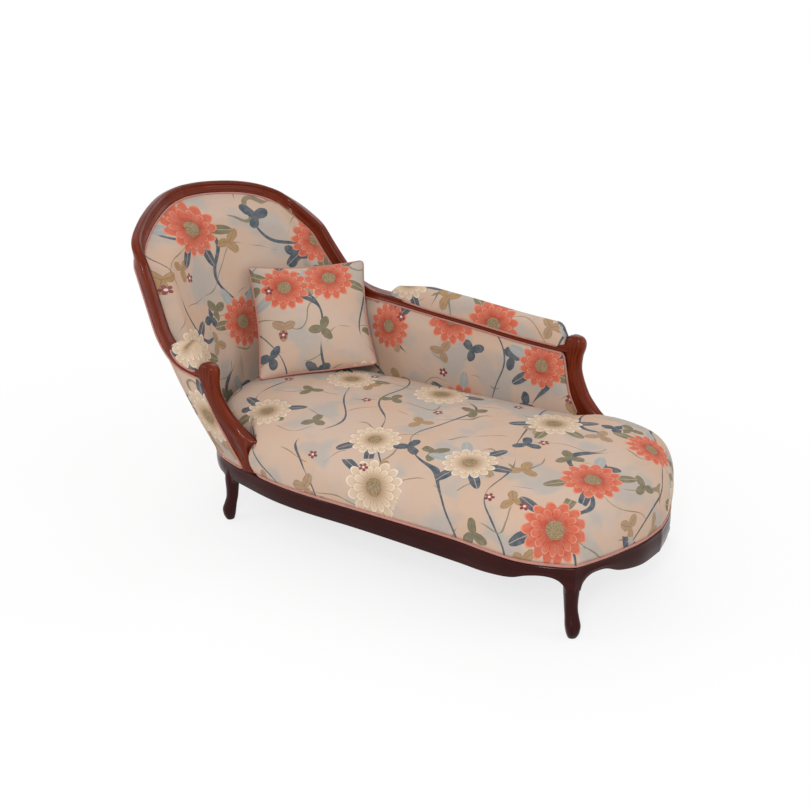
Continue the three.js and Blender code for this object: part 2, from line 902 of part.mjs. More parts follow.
for (const [name, side] of [['near', -1], ['far', 1]]) {
  const rail = `${name}_side_rail`;
  pieces[`head_${name}_corner_block`] = makeCornerBlock(
    side * head_leg_place, ['head_rail', `head_${name}_leg`, rail],
  );
  pieces[`foot_${name}_corner_block`] = makeCornerBlock(
    side * foot_leg_place, ['foot_rail', `foot_${name}_leg`, rail],
  );
}

const shown = ['crest_rail', 'near_back_post', 'far_back_post', 'near_arm_rail', 'far_arm_rail',
  'near_arm_stump', 'far_arm_stump'];
const hidden = ['near_back_upright', 'centre_back_slat', 'far_back_upright', 'head_cross_brace',
  'foot_cross_brace', 'head_near_corner_block', 'head_far_corner_block', 'foot_near_corner_block',
  'foot_far_corner_block'];
for (const [name, geometry] of Object.entries(pieces)) {
  const finish = shown.includes(name) ? show_wood : mahogany;
  add(name, geometry, hidden.includes(name) ? beech : finish);
}

// Webbing tacked under the rails

const webbing_top = frame_underside - layer_gap;
const spring_row_pitch = spring_row_share * seat_half_width;
const spring_xs = spread(-first_spring_share * head_reach, last_spring_share * foot_reach, spring_columns);

/** A lattice of straps, woven into one mat, as wide as the seat frame's underside allows. */
function makeWebbing() {
  const long_y = [-spring_row_pitch, 0, spring_row_pitch];
  const half = webbing_width / 2;
  const lap = rail_thickness - webbing_lap;
  const top = webbing_top;
  const slab = (x, y, length, width) => new THREE.BoxGeometry(length, width, webbing_thickness)
    .translate(x, y, top - webbing_thickness / 2);
  let mat = null;
  const lay = (strap) => {
    mat = mat ? mat.add(toSolid(strap)) : toSolid(strap);
  };
  for (const x of spring_xs) {
    const reach = Math.min(planPoint(placeAtX(x - half, 1)).y, planPoint(placeAtX(x + half, 1)).y) - lap;
    lay(slab(x, 0, webbing_width, 2 * reach));
  }
  for (const y of long_y) {
    const edge_y = Math.abs(y) + half;
    const headPlace = placeWhereY(edge_y, 0, head_leg_place);
    const footPlaceAt = placeWhereY(edge_y, 1, foot_leg_place);
    const start = planPoint(headPlace).x + lap;
    const end = planPoint(footPlaceAt).x - lap;
    lay(slab((start + end) / 2, y, end - start, webbing_width));
  }
  return toGeometry(mat);
}

/** The far plan place between two places where the half width reaches y. */
function placeWhereY(y, end, leg) {
  let [outer, inner] = [end, leg];
  for (let i = 0; i < 40; i++) {
    const middle = (outer + inner) / 2;
    if (half_plan.getPointAt(middle).y < y) {
      outer = middle;
    } else {
      inner = middle;
    }
  }
  return (outer + inner) / 2;
}

add('seat_webbing', makeWebbing(), jute);

// Coil springs with a waist, standing on the crossings of the webbing

function makeSpring() {
  const steps_a_turn = 5;
  const rest_share = 0.3;
  const count = spring_turns * steps_a_turn;
  const radius = spring_wire / 2;
  const points = spread(0, 1, count + 1).map((share) => {
    const angle = share * spring_turns * 2 * Math.PI;
    const waist = Math.sin(Math.PI * share);
    const r = mix(spring_mouth_radius, spring_waist_radius, waist);
    return new THREE.Vector3(
      r * Math.cos(angle),
      r * Math.sin(angle),
      mix(radius, spring_height - radius, share) + radius * rest_share,
    );
  });
  const rings = points.map((p, i) => {
    const out = new THREE.Vector3(p.x, p.y, 0).normalize();
    const before = points[Math.max(0, i - 1)];
    const after = points[Math.min(count, i + 1)];
    const along = after.clone().sub(before).normalize();
    const up = new THREE.Vector3().crossVectors(along, out).normalize();
    return [[1, 0], [0, 1], [-1, 0], [0, -1]].map(([a, b]) => (
      p.clone().addScaledVector(out, a * radius).addScaledVector(up, b * radius)
    ));
  });
  return loft(rings);
}

const spring_shape = makeSpring();
const row_names = ['near', 'middle', 'far'];
for (const [row, row_name] of row_names.entries()) {
  for (const [column, x] of spring_xs.entries()) {
    const spring = add(`${row_name}_spring_${column + 1}`, spring_shape, spring_steel);
    spring.position.set(x, (row - 1) * spring_row_pitch, webbing_top + joint_gap);
  }
}

// Dust cover under the webbing

function makeDustCover() {
  const top = webbing_top - webbing_thickness - joint_gap;
  const outline = seat_places.map((place) => framePoint(place, dust_cover_inset, 0));
  const layer = (z) => outline.map((p) => p.clone().setZ(z));
  const sheet = loft([layer(top), layer(top - dust_cover_thickness)], true);
  return fitted(sheet, ['head_near_leg', 'head_far_leg', 'foot_near_leg', 'foot_far_leg']);
}

// Seat: hessian, stuffing and cover are domes over the same plan. Where the plan is open the domes
// stand over the rails; where a wall rises they stay inside it and follow its flare.

const seat_stations = 44;
const seat_places = Array.from({ length: seat_stations }, (_, i) => mix(-1, 1, i / seat_stations));

/** 1 where a wall stands on the frame, 0 where the seat is open. */
function walled(place) {
  const ear = planStep(ear_length);
  const start = planStep(ear_start);
  const near = smooth((place - near_stump_place + start + ear) / ear);
  const far = smooth((far_stump_place + start + ear - place) / ear);
  return Math.min(near, far);
}

function wallFlare(place, z) {
  const held = Math.min(far_stump_place, Math.max(near_stump_place, place));
  return wallFace(held, z).sub(planPoint(held).setZ(z));
}

/** A point of a seat dome at a plan place: its inset from the frame, its way in, and its height. */
function domePoint(place, inset, share, z) {
  const wall = walled(place);
  const rim = framePoint(place, inset, z).addScaledVector(wallFlare(place, z), wall);
  const spine_x = Math.min(spine_foot_share * foot_reach, Math.max(-spine_head_share * head_reach, rim.x));
  const middle = new THREE.Vector3(spine_x, 0, z);
  return rim.lerp(middle, share);
}

function rimInset(place, open, wall) {
  return mix(open, wall, walled(place));
}

/** One ring of a seat dome at a share of its rise. */
function domeRing([rise, way_in], skin, rim_z, crown_z) {
  const z = mix(rim_z, crown_z, rise);
  return seat_places.map((place) => (
    domePoint(place, rimInset(place, cover_inset, wall_inset) + skin, way_in, z)
  ));
}

const cover_rim_z = rail_top + welt_diameter + 2 * joint_gap;
const stuffing_rim_z = rail_top + joint_gap;
const hessian_crown_z = webbing_top + spring_height + spring_wire / 2;

function makeSeatCover() {
  const outer = dome_shares.map((row) => domeRing(row, 0, cover_rim_z, seat_crown));
  const inner = dome_shares.map((row) => (
    domeRing(row, cover_thickness, cover_rim_z, seat_crown - cover_thickness)
  ));
  return loft([...outer.reverse(), ...inner], true);
}

/** Underside of the stuffing and top of the hessian, apart by a skin's thickness. */
function underRings(skin) {
  const low = stuffing_rim_z - skin;
  const high = hessian_crown_z + hessian_thickness - skin;
  const edge_open = rail_thickness + 2 * wall_clearance;
  const edge_wall = wall_inset + wall_shoulder;
  const shoulder_share = 0.8;
  const middle_share = 0.55;
  const ring = (extra, share, z) => seat_places.map((place) => (
    domePoint(place, rimInset(place, edge_open, edge_wall) + extra, share, z)
  ));
  return [
    ring(skin, 0, low),
    ring(shoulder_depth / 2 + skin, 0, mix(low, high, shoulder_share)),
    ring(shoulder_depth + skin, 0, high),
    ring(shoulder_depth + skin, middle_share, high),
  ];
}

/** The stuffing fills the cover and stands on the rails inside the welt. */
function makeSeatStuffing() {
  const clear = cover_thickness + layer_gap;
  const outer = dome_shares.map((row) => domeRing(row, clear, cover_rim_z, seat_crown - clear));
  const open_foot = rail_bevel + welt_diameter;
  const foot = (z) => seat_places.map((place) => (
    domePoint(place, rimInset(place, open_foot, wall_inset + clear), 0, z)
  ));
  const base = [foot(cover_rim_z - joint_gap / 2), foot(stuffing_rim_z)];
  return loft([...outer.reverse(), ...base, ...underRings(0)], true);
}

function makeSpringHessian() {
  const top = underRings(layer_gap);
  const bottom = underRings(layer_gap + hessian_thickness);
  const edge = (z) => seat_places.map((place) => framePoint(place, rail_thickness + wall_clearance, z));
  const high = stuffing_rim_z - layer_gap;
  return loft([
    ...top.reverse(),
    edge(high),
    edge(high - hessian_thickness),
    ...bottom,
  ], true);
}

add('dust_cover', makeDustCover(), black_cambric);
add('spring_hessian', makeSpringHessian(), jute);
add('seat_stuffing', makeSeatStuffing(), horsehair);
add('seat_cover', makeSeatCover(), floral_cloth);

/** The welt lies on the rail under the open edge of the cover. */
function makeSeatWelt() {
  const open_start = near_stump_place - planStep(ear_start + ear_length / 2);
  const open_end = far_stump_place + planStep(ear_start + ear_length / 2);
  const near = spread(open_start, -1, 24);
  const far = spread(1, open_end, 14).slice(1);
  const radius = welt_diameter / 2;
  const sides = 5;
  const rings = [...near, ...far].map((place) => {
    const centre = framePoint(place, radius + rail_bevel / 2, rail_top + joint_gap + radius);
    const inward = planInward(place);
    return Array.from({ length: sides }, (_, i) => {
      const angle = (i * 2 * Math.PI) / sides - Math.PI / 2;
      const p = centre.clone().addScaledVector(inward, radius * Math.cos(angle));
      return p.setZ(centre.z + radius * Math.sin(angle));
    });
  });
  return loft(rings);
}

add('seat_welt', makeSeatWelt(), welt_cloth);

// Outside covers, hessian and inside panels of the back and arms

const seam = showStep(joint_gap);
const wall_count = Math.round(show_edge_length / wall_pitch);
const joint_places = [near_joint_place, far_joint_place];
const wall_shows = [...spread(0, 1, wall_count), ...joint_places].sort((a, b) => a - b);
const cloth_start = showStep(cloth_setback);
const cloth_end = 1 - cloth_start;
const panel_start = showStep(panel_setback);
const panel_end = 1 - panel_start;

/** The stations of the wall between two show places; all layers share them. */
function stationsBetween(from, to) {
  const margin = showStep(wall_clearance);
  const inner = wall_shows.filter((show) => show > from + margin && show < to - margin);
  return [from, ...inner, to].map((show) => ({ show, ...edgeAt(show, showFace(show) / 2) }));
}

function levelOf({ z }, share) {
  return mix(rail_top + 2 * joint_gap, z, share);
}

/** A sheet of even thickness on the wall between two show places, from the rail to the show wood. */
function wallSheet(from, to, depth, thickness, neighbours) {
  const rings = stationsBetween(from, to).map((station) => {
    const layer = (deep) => level_shares.map((share) => (
      wallPoint(station.place, levelOf(station, share), deep)
    ));
    return [...layer(depth), ...layer(depth + thickness).reverse()];
  });
  return fitted(loftStrips(rings), neighbours);
}

const near_cut = ['near_arm_stump', 'near_arm_rail', 'near_back_post'];
const back_cut = ['near_arm_rail', 'near_back_post', 'crest_rail', 'far_back_post', 'far_arm_rail'];
const far_cut = ['far_arm_stump', 'far_arm_rail', 'far_back_post'];
const cover_layer = [outer_cover_depth, outer_cover_thickness];
const hessian_layer = [wall_hessian_depth, hessian_thickness];

add('near_outside_arm_cover', wallSheet(
  cloth_start, near_joint_place - seam, ...cover_layer, near_cut,
), floral_cloth);
add('outside_back_cover', wallSheet(
  near_joint_place + seam, far_joint_place - seam, ...cover_layer, back_cut,
), floral_cloth);
add('far_outside_arm_cover', wallSheet(
  far_joint_place + seam, cloth_end, ...cover_layer, far_cut,
), floral_cloth);
add('back_hessian', wallSheet(
  cloth_start, cloth_end, ...hessian_layer, [...back_cut, 'near_arm_stump', 'far_arm_stump'],
), jute);

const middle_line = spread(0, 1, 160).map((show) => ({ show, ...edgeAt(show, showFace(show) / 2) }));

/** Distance from a point of the wall to the middle line of the show wood. */
function woodNear(place, z) {
  let best = { distance: Infinity, show: 0 };
  for (const knot of middle_line) {
    const distance = Math.hypot((knot.place - place) * half_plan_length, knot.z - z);
    if (distance < best.distance) {
      best = { distance, show: knot.show };
    }
  }
  return best;
}

/** How thick the padding is at a point of the wall: thin at the wood, full in the field. */
function paddingAt(place, z, swell) {
  const { distance, show } = woodNear(place, z);
  const wood = showDepth(show) - padding_depth - panel_recess;
  const swell_start_share = 0.5;
  const seat_share = smooth((z - rail_top) / (seat_crown - rail_top) - swell_start_share);
  const full = back_padding + swell * seat_share;
  const roll = smooth((distance - showFace(show) / 2) / panel_roll);
  const to_stump = Math.min(place - near_stump_place, far_stump_place - place) * half_plan_length;
  const stump_roll = smooth((to_stump - stump_size / 2) / panel_roll);
  return Math.min(mix(wood, full, roll), mix(stump_padding, full, stump_roll));
}

/** A padded inside panel between two show places. Its foot is hidden behind the seat. */
function insidePanel(from, to, swell, neighbours) {
  const rings = stationsBetween(from, to).map((station) => {
    const levels = level_shares.slice(1).map((share) => levelOf(station, share));
    const front = levels.map((z) => (
      wallPoint(station.place, z, padding_depth + paddingAt(station.place, z, swell))
    ));
    const back = levels.map((z) => wallPoint(station.place, z, padding_depth));
    return [...back, ...front.reverse()];
  });
  return fitted(loftStrips(rings), neighbours);
}

add('near_inside_arm_panel', insidePanel(
  panel_start, near_joint_place - seam, arm_swell, near_cut,
), floral_cloth);
add('inside_back_panel', insidePanel(
  near_joint_place + seam, far_joint_place - seam, back_swell, back_cut,
), floral_cloth);
add('far_inside_arm_panel', insidePanel(
  far_joint_place + seam, panel_end, arm_swell, far_cut,
), floral_cloth);

// Arm pads on the arm rails

/** A crowned pad along the show edge, with its ends drawn down in equal steps. */
function makePad(from, to, count, height, end_shares, neighbours) {
  const [end_share, first_step_share, last_step_share] = end_shares;
  const rings = spread(from, to, count).map((show, i) => {
    const { inward, square } = showFrame(show);
    const first_share = end_share + i * first_step_share;
    const last_share = end_share + (count - 1 - i) * last_step_share;
    const edge_share = Math.min(1, first_share, last_share);
    const half = (showDepth(show) / 2 - pad_margin) * mix(end_share, 1, edge_share);
    const centre = edgePoint(show).addScaledVector(inward, showDepth(show) / 2);
    return pad_section_shares.map(([across, up]) => (
      centre.clone()
        .addScaledVector(inward, across * half)
        .addScaledVector(square, pad_sink - up * height * edge_share)
    ));
  });
  return fitted(loft(rings), neighbours);
}

const pad_setback_share = 0.62;
const pad_setback = showStep(stump_size * pad_setback_share);
const near_pad_end = near_joint_place + showStep(arch_face / 2);
const far_pad_lead_share = 2.35;
const far_pad_start = far_joint_place + showStep(far_pad_lead_share * arch_face);
add('near_arm_pad', makePad(
  pad_setback, near_pad_end, 9, near_pad_height, [0.6, 0.3, 0.3], near_cut,
), floral_cloth);
add('far_arm_pad', makePad(
  far_pad_start, 1 - pad_setback, 15, far_pad_height, [0.45, 0.19, 0.3], far_cut,
), floral_cloth);

// Throw pillow, leaning on the back

/** A knife-edged square cushion whose sides draw in between its corners. */
function makePillow() {
  const cells = 10;
  const half = pillow_size / 2;
  const draw_in_share = 0.055;
  const rowOf = (j, face) => {
    const v = mix(-1, 1, j / cells);
    return Array.from({ length: cells + 1 }, (_, i) => {
      const u = mix(-1, 1, i / cells);
      const x = u * half * (1 - draw_in_share * (1 - v * v) * Math.abs(u));
      const y = v * half * (1 - draw_in_share * (1 - u * u) * Math.abs(v));
      const crown = Math.pow((1 - u * u * u * u) * (1 - v * v * v * v), 0.6);
      const z = pillow_edge / 2 + (pillow_thickness - pillow_edge) / 2 * crown;
      return new THREE.Vector3(x, y, face * z);
    });
  };
  const front = Array.from({ length: cells + 1 }, (_, j) => rowOf(j, 1));
  const back = Array.from({ length: cells + 1 }, (_, j) => rowOf(j, -1));
  const rings = front.map((row, j) => [...row, ...back[j].reverse()]);
  return loft(rings);
}

const pillow = add('throw_pillow', makePillow(), floral_cloth);
const yaw = pillow_yaw_share * Math.PI;
const lean = pillow_lean_share * Math.PI;
const face_way = new THREE.Vector3(Math.cos(yaw), Math.sin(yaw), 0);
const side_way = new THREE.Vector3(-Math.sin(yaw), Math.cos(yaw), 0);
const up_way = new THREE.Vector3(0, 0, Math.cos(lean)).addScaledVector(face_way, -Math.sin(lean));
const out_way = new THREE.Vector3().crossVectors(side_way, up_way);
pillow.quaternion.setFromRotationMatrix(new THREE.Matrix4().makeBasis(side_way, up_way, out_way));
const pillow_z = seat_crown + pillow_lift + (pillow_size / 2) * Math.cos(lean);
const pillow_x = pillow_stand_off - head_reach - leanBack(pillow_z);
pillow.position.set(pillow_x, pillow_side_share * seat_half_width, pillow_z);

// The origin is under the middle of the whole piece, on the floor.
recamier.position.x = plan_shift;

export default recamier;
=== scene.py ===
"""Recamier with an arched back, one short arm, one long arm and a loose pillow.

Laid out as an add-on and run as a script. Metres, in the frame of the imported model.
"""
import functools
import json
import math
from bisect import bisect_right

import bmesh
import bpy
from bpy.props import FloatProperty, FloatVectorProperty, PointerProperty
from mathutils import Matrix, Vector


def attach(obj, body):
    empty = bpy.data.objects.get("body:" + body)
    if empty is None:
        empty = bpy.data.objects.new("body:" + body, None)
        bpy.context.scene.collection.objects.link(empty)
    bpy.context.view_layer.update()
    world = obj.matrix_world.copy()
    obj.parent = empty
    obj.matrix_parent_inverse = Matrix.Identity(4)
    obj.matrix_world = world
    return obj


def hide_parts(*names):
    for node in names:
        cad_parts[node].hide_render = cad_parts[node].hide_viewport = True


bl_info = {
    "name": "Recamier",
    "version": (1, 0, 0),
    "blender": (4, 5, 0),
    "location": "View3D > Sidebar > Recamier",
    "description": "Builds an upholstered recamier over its packed frame",
    "category": "Add Mesh",
}

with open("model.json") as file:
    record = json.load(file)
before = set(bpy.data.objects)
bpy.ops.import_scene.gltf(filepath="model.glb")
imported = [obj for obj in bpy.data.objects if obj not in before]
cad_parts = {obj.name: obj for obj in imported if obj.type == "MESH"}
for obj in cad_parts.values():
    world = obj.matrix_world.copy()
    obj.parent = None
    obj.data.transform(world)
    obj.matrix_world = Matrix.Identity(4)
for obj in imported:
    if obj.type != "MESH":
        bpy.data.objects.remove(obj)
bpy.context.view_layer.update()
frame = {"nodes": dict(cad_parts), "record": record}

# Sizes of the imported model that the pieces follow
RAIL_TOP = 0.207
RAIL_BOTTOM = 0.150
RAIL_THICKNESS = 0.042
APRON_THICKNESS = 0.020
FRAME_UNDERSIDE = 0.176
HEAD_REACH = 0.653
FOOT_REACH = 0.892
SEAT_HALF_WIDTH = 0.378
SCALLOP_DEPTH = 0.025
PLAN_SHIFT = 0.0025
HEAD_LEG_X = -0.464
FOOT_LEG_X = 0.771
LEG_HALF = 0.030
LEG_SIZE = 0.042
HEAD_LEG_KICK = 0.025
FOOT_LEG_KICK = 0.038
HEAD_COVE = 0.022
FOOT_COVE = 0.044
FOOT_CORNER = 0.014
BACK_HEIGHT = 1.003
CREST_REACH = 0.902
ARM_HALF_WIDTH = 0.410
ARCH_FACE = 0.042
ARCH_DEPTH = 0.032
ARM_FACE = 0.024
ARM_DEPTH = 0.054
NEAR_SCROLL_X = -0.443
NEAR_ARM_Z = 0.540
FAR_SCROLL_X = 0.425
FAR_ARM_Z = 0.567
NEAR_JOINT_X = -0.452
FAR_JOINT_X = -0.236
CREST_JOINT_X = -0.560
POST_FOOT_X = -0.440
FLARE_TOP = 0.650
FLARE_EASE = 1.6
NEAR_STUMP_X = -0.350
FAR_STUMP_X = 0.545
STUMP_SIZE = 0.048
NEAR_STUMP_HEIGHT = 0.363
FAR_STUMP_HEIGHT = 0.393
SEAT_CROWN = 0.397
COVER_INSET = 0.002
WALL_INSET = 0.070
EAR_LENGTH = 0.024
SPINE_HEAD_X = -0.330
SPINE_FOOT_X = 0.560
OUTER_COVER_DEPTH = 0.0015
PADDING_DEPTH = 0.0265
BACK_PADDING = 0.024
STUMP_PADDING = 0.016
PANEL_ROLL = 0.070
PANEL_RECESS = 0.0015
BACK_SWELL = 0.030
ARM_SWELL = 0.012
INSIDE_TUCK = 0.009
OUTSIDE_TUCK = 0.012
FAR_PAD_LEAD = 0.0987
NEAR_PAD_HEIGHT = 0.084
FAR_PAD_HEIGHT = 0.071
PILLOW_SIZE = 0.407
PILLOW_THICKNESS = 0.132
PILLOW_PLACE = (-0.4664, 0.1727)
PILLOW_LIFT = 0.0005
PILLOW_PRESS = 0.026
PILLOW_YAW = math.radians(-44)
PILLOW_LEAN = math.radians(35.5)
JOINT_GAP = 0.0003

# Steps and counts of the curves and meshes
PLACE_STEP = 0.002
HEIGHT_STEP = 0.001
EDGE_STEP = 0.0005
HALVINGS = 40
CLOSEST = 1e-5
WOOD_PITCH = 0.009
PAD_PITCH = 0.008
WELT_SIDES = 12
WELT_ROUNDINGS = 5
SEAT_COLUMNS = 240
PAD_POINTS = 29
PILLOW_CELLS = 56

# Sizes and shares of the details
RAIL_GIRTH = 0.2
SHOW_GIRTH = 0.16
STUMP_GIRTH = 0.15
LEG_GIRTH = 0.13
PAD_GIRTH = 0.19
SHOW_END = 0.74
SHOW_END_LENGTH = 0.05
ARM_BEAD = 0.006
WELT_END = 0.55
WELT_PROUD = 0.0005
SEAT_WELT_INSET = 0.002
SEAT_RIM_Z = RAIL_TOP + 0.0086
EAR_TOP = 0.317
STUMP_EASE = 0.11
COVER_CLOTH = 0.0016
PILLOW_SEAM = 0.002
PILLOW_ROOM = 0.016
PILLOW_DRAWN = 0.075
WALL_BEND_X = -0.25
PRINT_RISE = 1.05
SEAT_PRINT = (0.37, 0.61)
PAD_PRINT = (0.71, 0.27)
PILLOW_FRONT_PRINT = (2.27, 1.62)
PILLOW_BACK_PRINT = (5.1, 3.3)

# Half the plan: shares of the reach to its end, of the half width and of the scallop's depth
PLAN_SHARES = (
    (-1, 0, -0.1), (-0.98, 0.3, -0.1), (-0.905, 0.565, -0.1), (-0.8, 0.735, -0.1), (-0.674, 0.832, -0.1),
    (-0.535, 0.9, -0.1), (-0.392, 0.958, -0.1), (-0.285, 0.985, -0.1), (-0.15, 1, -0.1), (0.112, 1, -0.1),
    (0.49, 1.005, -0.4), (0.6, 1.035, -0.25), (0.69, 1.046, 0.2), (0.735, 1.03, 0.75), (0.78, 0.998, 1),
    (0.825, 0.95, 0.85), (0.862, 0.885, 0.8), (0.892, 0.8, 0.95), (0.926, 0.655, 1), (0.952, 0.5, 0),
    (0.984, 0.275, -0.6), (1, 0, -0.7),
)
# Show edge from an arm's scroll to the top of the back: shares of the run and of the rise
NEAR_EDGE = (
    (0, 0), (0.178, 0.011), (0.317, 0.048), (0.381, 0.13), (0.406, 0.238), (0.419, 0.421), (0.432, 0.572),
    (0.463, 0.691), (0.54, 0.747), (0.651, 0.795), (0.746, 0.842), (0.822, 0.89), (0.895, 0.933),
    (0.971, 0.972),
)
FAR_EDGE = (
    (0, 0), (0.046, 0.003), (0.154, 0.024), (0.282, 0.064), (0.415, 0.101), (0.575, 0.148), (0.631, 0.163),
    (0.672, 0.196), (0.704, 0.262), (0.725, 0.349), (0.753, 0.498), (0.776, 0.628), (0.807, 0.702),
    (0.858, 0.794), (0.905, 0.885), (0.942, 0.954), (0.971, 0.989),
)
# Stump: rise, sweep, lean, and shares of its size to the front, to the back and across, then how
# pointed its front is.
STUMP_ROWS = (
    (0, 0, 0, 1.1, 0.72, 0.92, 1.0), (0.025, 0.01, 0.01, 0.62, 0.76, 0.92, 0.9),
    (0.075, 0.03, 0.03, 0.3, 0.86, 0.92, 0.8), (0.16, 0.1, 0.1, 0.25, 1, 0.94, 0.85),
    (0.235, 0.2, 0.2, 0.55, 1.02, 0.96, 1.0), (0.285, 0.27, 0.26, 1.1, 1, 1, 1.5),
    (0.308, 0.3, 0.28, 1.46, 0.98, 1, 1.7), (0.326, 0.33, 0.3, 1.3, 0.97, 1, 1.5),
    (0.37, 0.42, 0.36, 0.95, 0.94, 1, 1.15), (0.45, 0.62, 0.46, 0.78, 0.78, 1, 1.1),
    (0.53, 0.79, 0.58, 0.7, 0.62, 1, 1.1), (0.7, 1.0, 0.8, 0.64, 0.42, 0.96, 1.0),
    (0.82, 1.03, 0.93, 0.69, 0.56, 1, 0.9), (0.905, 1, 1, 0.78, 0.8, 1.06, 0.8),
    (0.955, 0.98, 1, 0.7, 0.7, 1, 0.8),
    (0.985, 0.98, 1, 0.5, 0.5, 0.82, 0.85), (1, 0.98, 1, 0.2, 0.2, 0.4, 0.9),
)
# Ear of the seat at a stump: height, and how far in front of the stump the side is fully out
EAR_ROWS = (
    (0.207, 0.050), (0.213, 0.036), (0.222, 0.025), (0.237, 0.016), (0.26, 0.012), (0.285, 0.020),
    (0.3, 0.036), (0.315, 0.054), (0.325, 0.054), (0.34, 0.034), (0.36, 0.014), (0.4, 0.0),
)
# Leg from the knee down: height, kick outwards, size
LEG_ROWS = (
    (1.2, 0.1, 0.92), (0.98, 0.3, 1.02), (0.84, 0.33, 0.99), (0.66, 0.37, 0.9), (0.5, 0.48, 0.86),
    (0.38, 0.72, 0.9), (0.25, 0.96, 0.99), (0.13, 1, 0.9), (0.07, 0.985, 0.79), (0.03, 0.96, 0.69),
    (0, 0.93, 0.6),
)
# Dome of the seat: share of its height, and share of the way from the rim to the middle line
DOME_ROWS = (
    (0, 0.004), (0.12, -0.005), (0.3, -0.010), (0.5, 0.002), (0.68, 0.044), (0.82, 0.118), (0.91, 0.22),
    (0.965, 0.38), (0.99, 0.63), (1, 1),
)


def clamp(value, low=0.0, high=1.0):
    return min(high, max(low, value))


def smooth(share):
    held = clamp(share)
    return held * held * (3 - 2 * held)


def mix(a, b, share):
    return a + (b - a) * share


def spread(a, b, count):
    return [mix(a, b, i / (count - 1)) for i in range(count)]


def angles(count):
    return spread(0, 2 * math.pi, count + 1)[:-1]


def squared(value, power):
    """A sine or cosine raised to a power, which squares or points a round section."""
    return math.copysign(abs(value) ** power, value)


def bell(value, middle, width):
    return math.exp(-((value - middle) / width) ** 2)


def share_where(read, target):
    """The share from 0 to 1 at which a rising value reaches a target."""
    low, high = 0.0, 1.0
    for _ in range(HALVINGS):
        middle = (low + high) / 2
        if read(middle) < target:
            low = middle
        else:
            high = middle
    return (low + high) / 2


def eased(rows, share):
    """A row of values between the rows of a table, on smooth curves through them."""
    keys = [row[0] for row in rows]
    way = 1 if keys[-1] > keys[0] else -1
    i = clamp(bisect_right([k * way for k in keys], share * way) - 1, 0, len(rows) - 2)
    a, b = rows[i], rows[i + 1]
    before, after = rows[max(0, i - 1)], rows[min(len(rows) - 1, i + 2)]
    span = b[0] - a[0]
    t = clamp((share - a[0]) / span)
    values = []
    for column in range(1, len(a)):
        rise = (b[column] - a[column]) / span
        slope_a = (b[column] - before[column]) / (b[0] - before[0]) if i > 0 else rise
        slope_b = (after[column] - a[column]) / (after[0] - a[0]) if i < len(rows) - 2 else rise
        values.append(
            a[column] * (2 * t**3 - 3 * t**2 + 1) + b[column] * (3 * t**2 - 2 * t**3)
            + span * slope_a * (t**3 - 2 * t**2 + t) + span * slope_b * (t**3 - t**2)
        )
    return values


class Route:
    """A smooth curve through knots, read by its share of the length."""

    def __init__(self, knots, steps):
        self.knots = [tuple(k) for k in knots]
        self.steps = steps
        points = [self.at(i / steps) for i in range(steps + 1)]
        self.lengths = [0.0]
        for a, b in zip(points, points[1:]):
            self.lengths.append(self.lengths[-1] + math.dist(a, b))
        self.length = self.lengths[-1]

    def at(self, t):
        knots = self.knots
        last = len(knots) - 1
        i = min(last - 1, int(t * last))
        w = t * last - i
        b, c = knots[i], knots[i + 1]
        a = knots[i - 1] if i > 0 else tuple(2 * p - q for p, q in zip(b, c))
        d = knots[i + 2] if i + 2 <= last else tuple(2 * q - p for p, q in zip(b, c))
        ab, bc, cd = math.sqrt(math.dist(a, b)), math.sqrt(math.dist(b, c)), math.sqrt(math.dist(c, d))
        point = []
        for w0, w1, w2, w3 in zip(a, b, c, d):
            t1 = ((w1 - w0) / ab - (w2 - w0) / (ab + bc) + (w2 - w1) / bc) * bc
            t2 = ((w2 - w1) / bc - (w3 - w1) / (bc + cd) + (w3 - w2) / cd) * bc
            point.append(
                w1 + t1 * w + (3 * (w2 - w1) - 2 * t1 - t2) * w * w + (2 * (w1 - w2) + t1 + t2) * w**3
            )
        return tuple(point)

    def point(self, share):
        target = clamp(share) * self.length
        i = clamp(bisect_right(self.lengths, target) - 1, 0, self.steps - 1)
        span = self.lengths[i + 1] - self.lengths[i]
        return self.at((i + (target - self.lengths[i]) / span) / self.steps)


# Plan of the seat frame: a place runs from -1 at the foot end, along the near side, through 0 at the
# head end, and along the far side to 1 at the foot end.
half_plan = Route(
    [(x * (HEAD_REACH if x < 0 else FOOT_REACH), y * SEAT_HALF_WIDTH, lift * SCALLOP_DEPTH)
     for x, y, lift in PLAN_SHARES], 600,
)


@functools.lru_cache(maxsize=None)
def plan_knot(place):
    return half_plan.point(abs(place))


def plan_point(place):
    x, y, _ = plan_knot(clamp(place, -1.0))
    return Vector((x, math.copysign(y, place), 0))


def scallop_lift(place):
    return plan_knot(clamp(place, -1.0))[2]


def plan_tangent(place):
    if abs(place) > 1 - PLACE_STEP:
        return Vector((0, -1, 0))
    return (plan_point(place + PLACE_STEP) - plan_point(place - PLACE_STEP)).normalized()


def plan_inward(place):
    along = plan_tangent(place)
    return Vector((along.y, -along.x, 0))


def frame_point(place, inset, z):
    p = plan_point(place) + plan_inward(place) * inset
    return Vector((p.x, p.y, z))


def place_at_x(x, side):
    return side * share_where(lambda share: half_plan.point(share)[0], x)


def plan_step(length):
    return length / half_plan.length


# Wall of the back and arms over the plan
RECLINE = (CREST_REACH - HEAD_REACH) / (BACK_HEIGHT - RAIL_TOP)
POST_HALF_WIDTH = plan_point(place_at_x(POST_FOOT_X, 1)).y
NEAR_STUMP_PLACE = place_at_x(NEAR_STUMP_X, -1)
FAR_STUMP_PLACE = place_at_x(FAR_STUMP_X, 1)


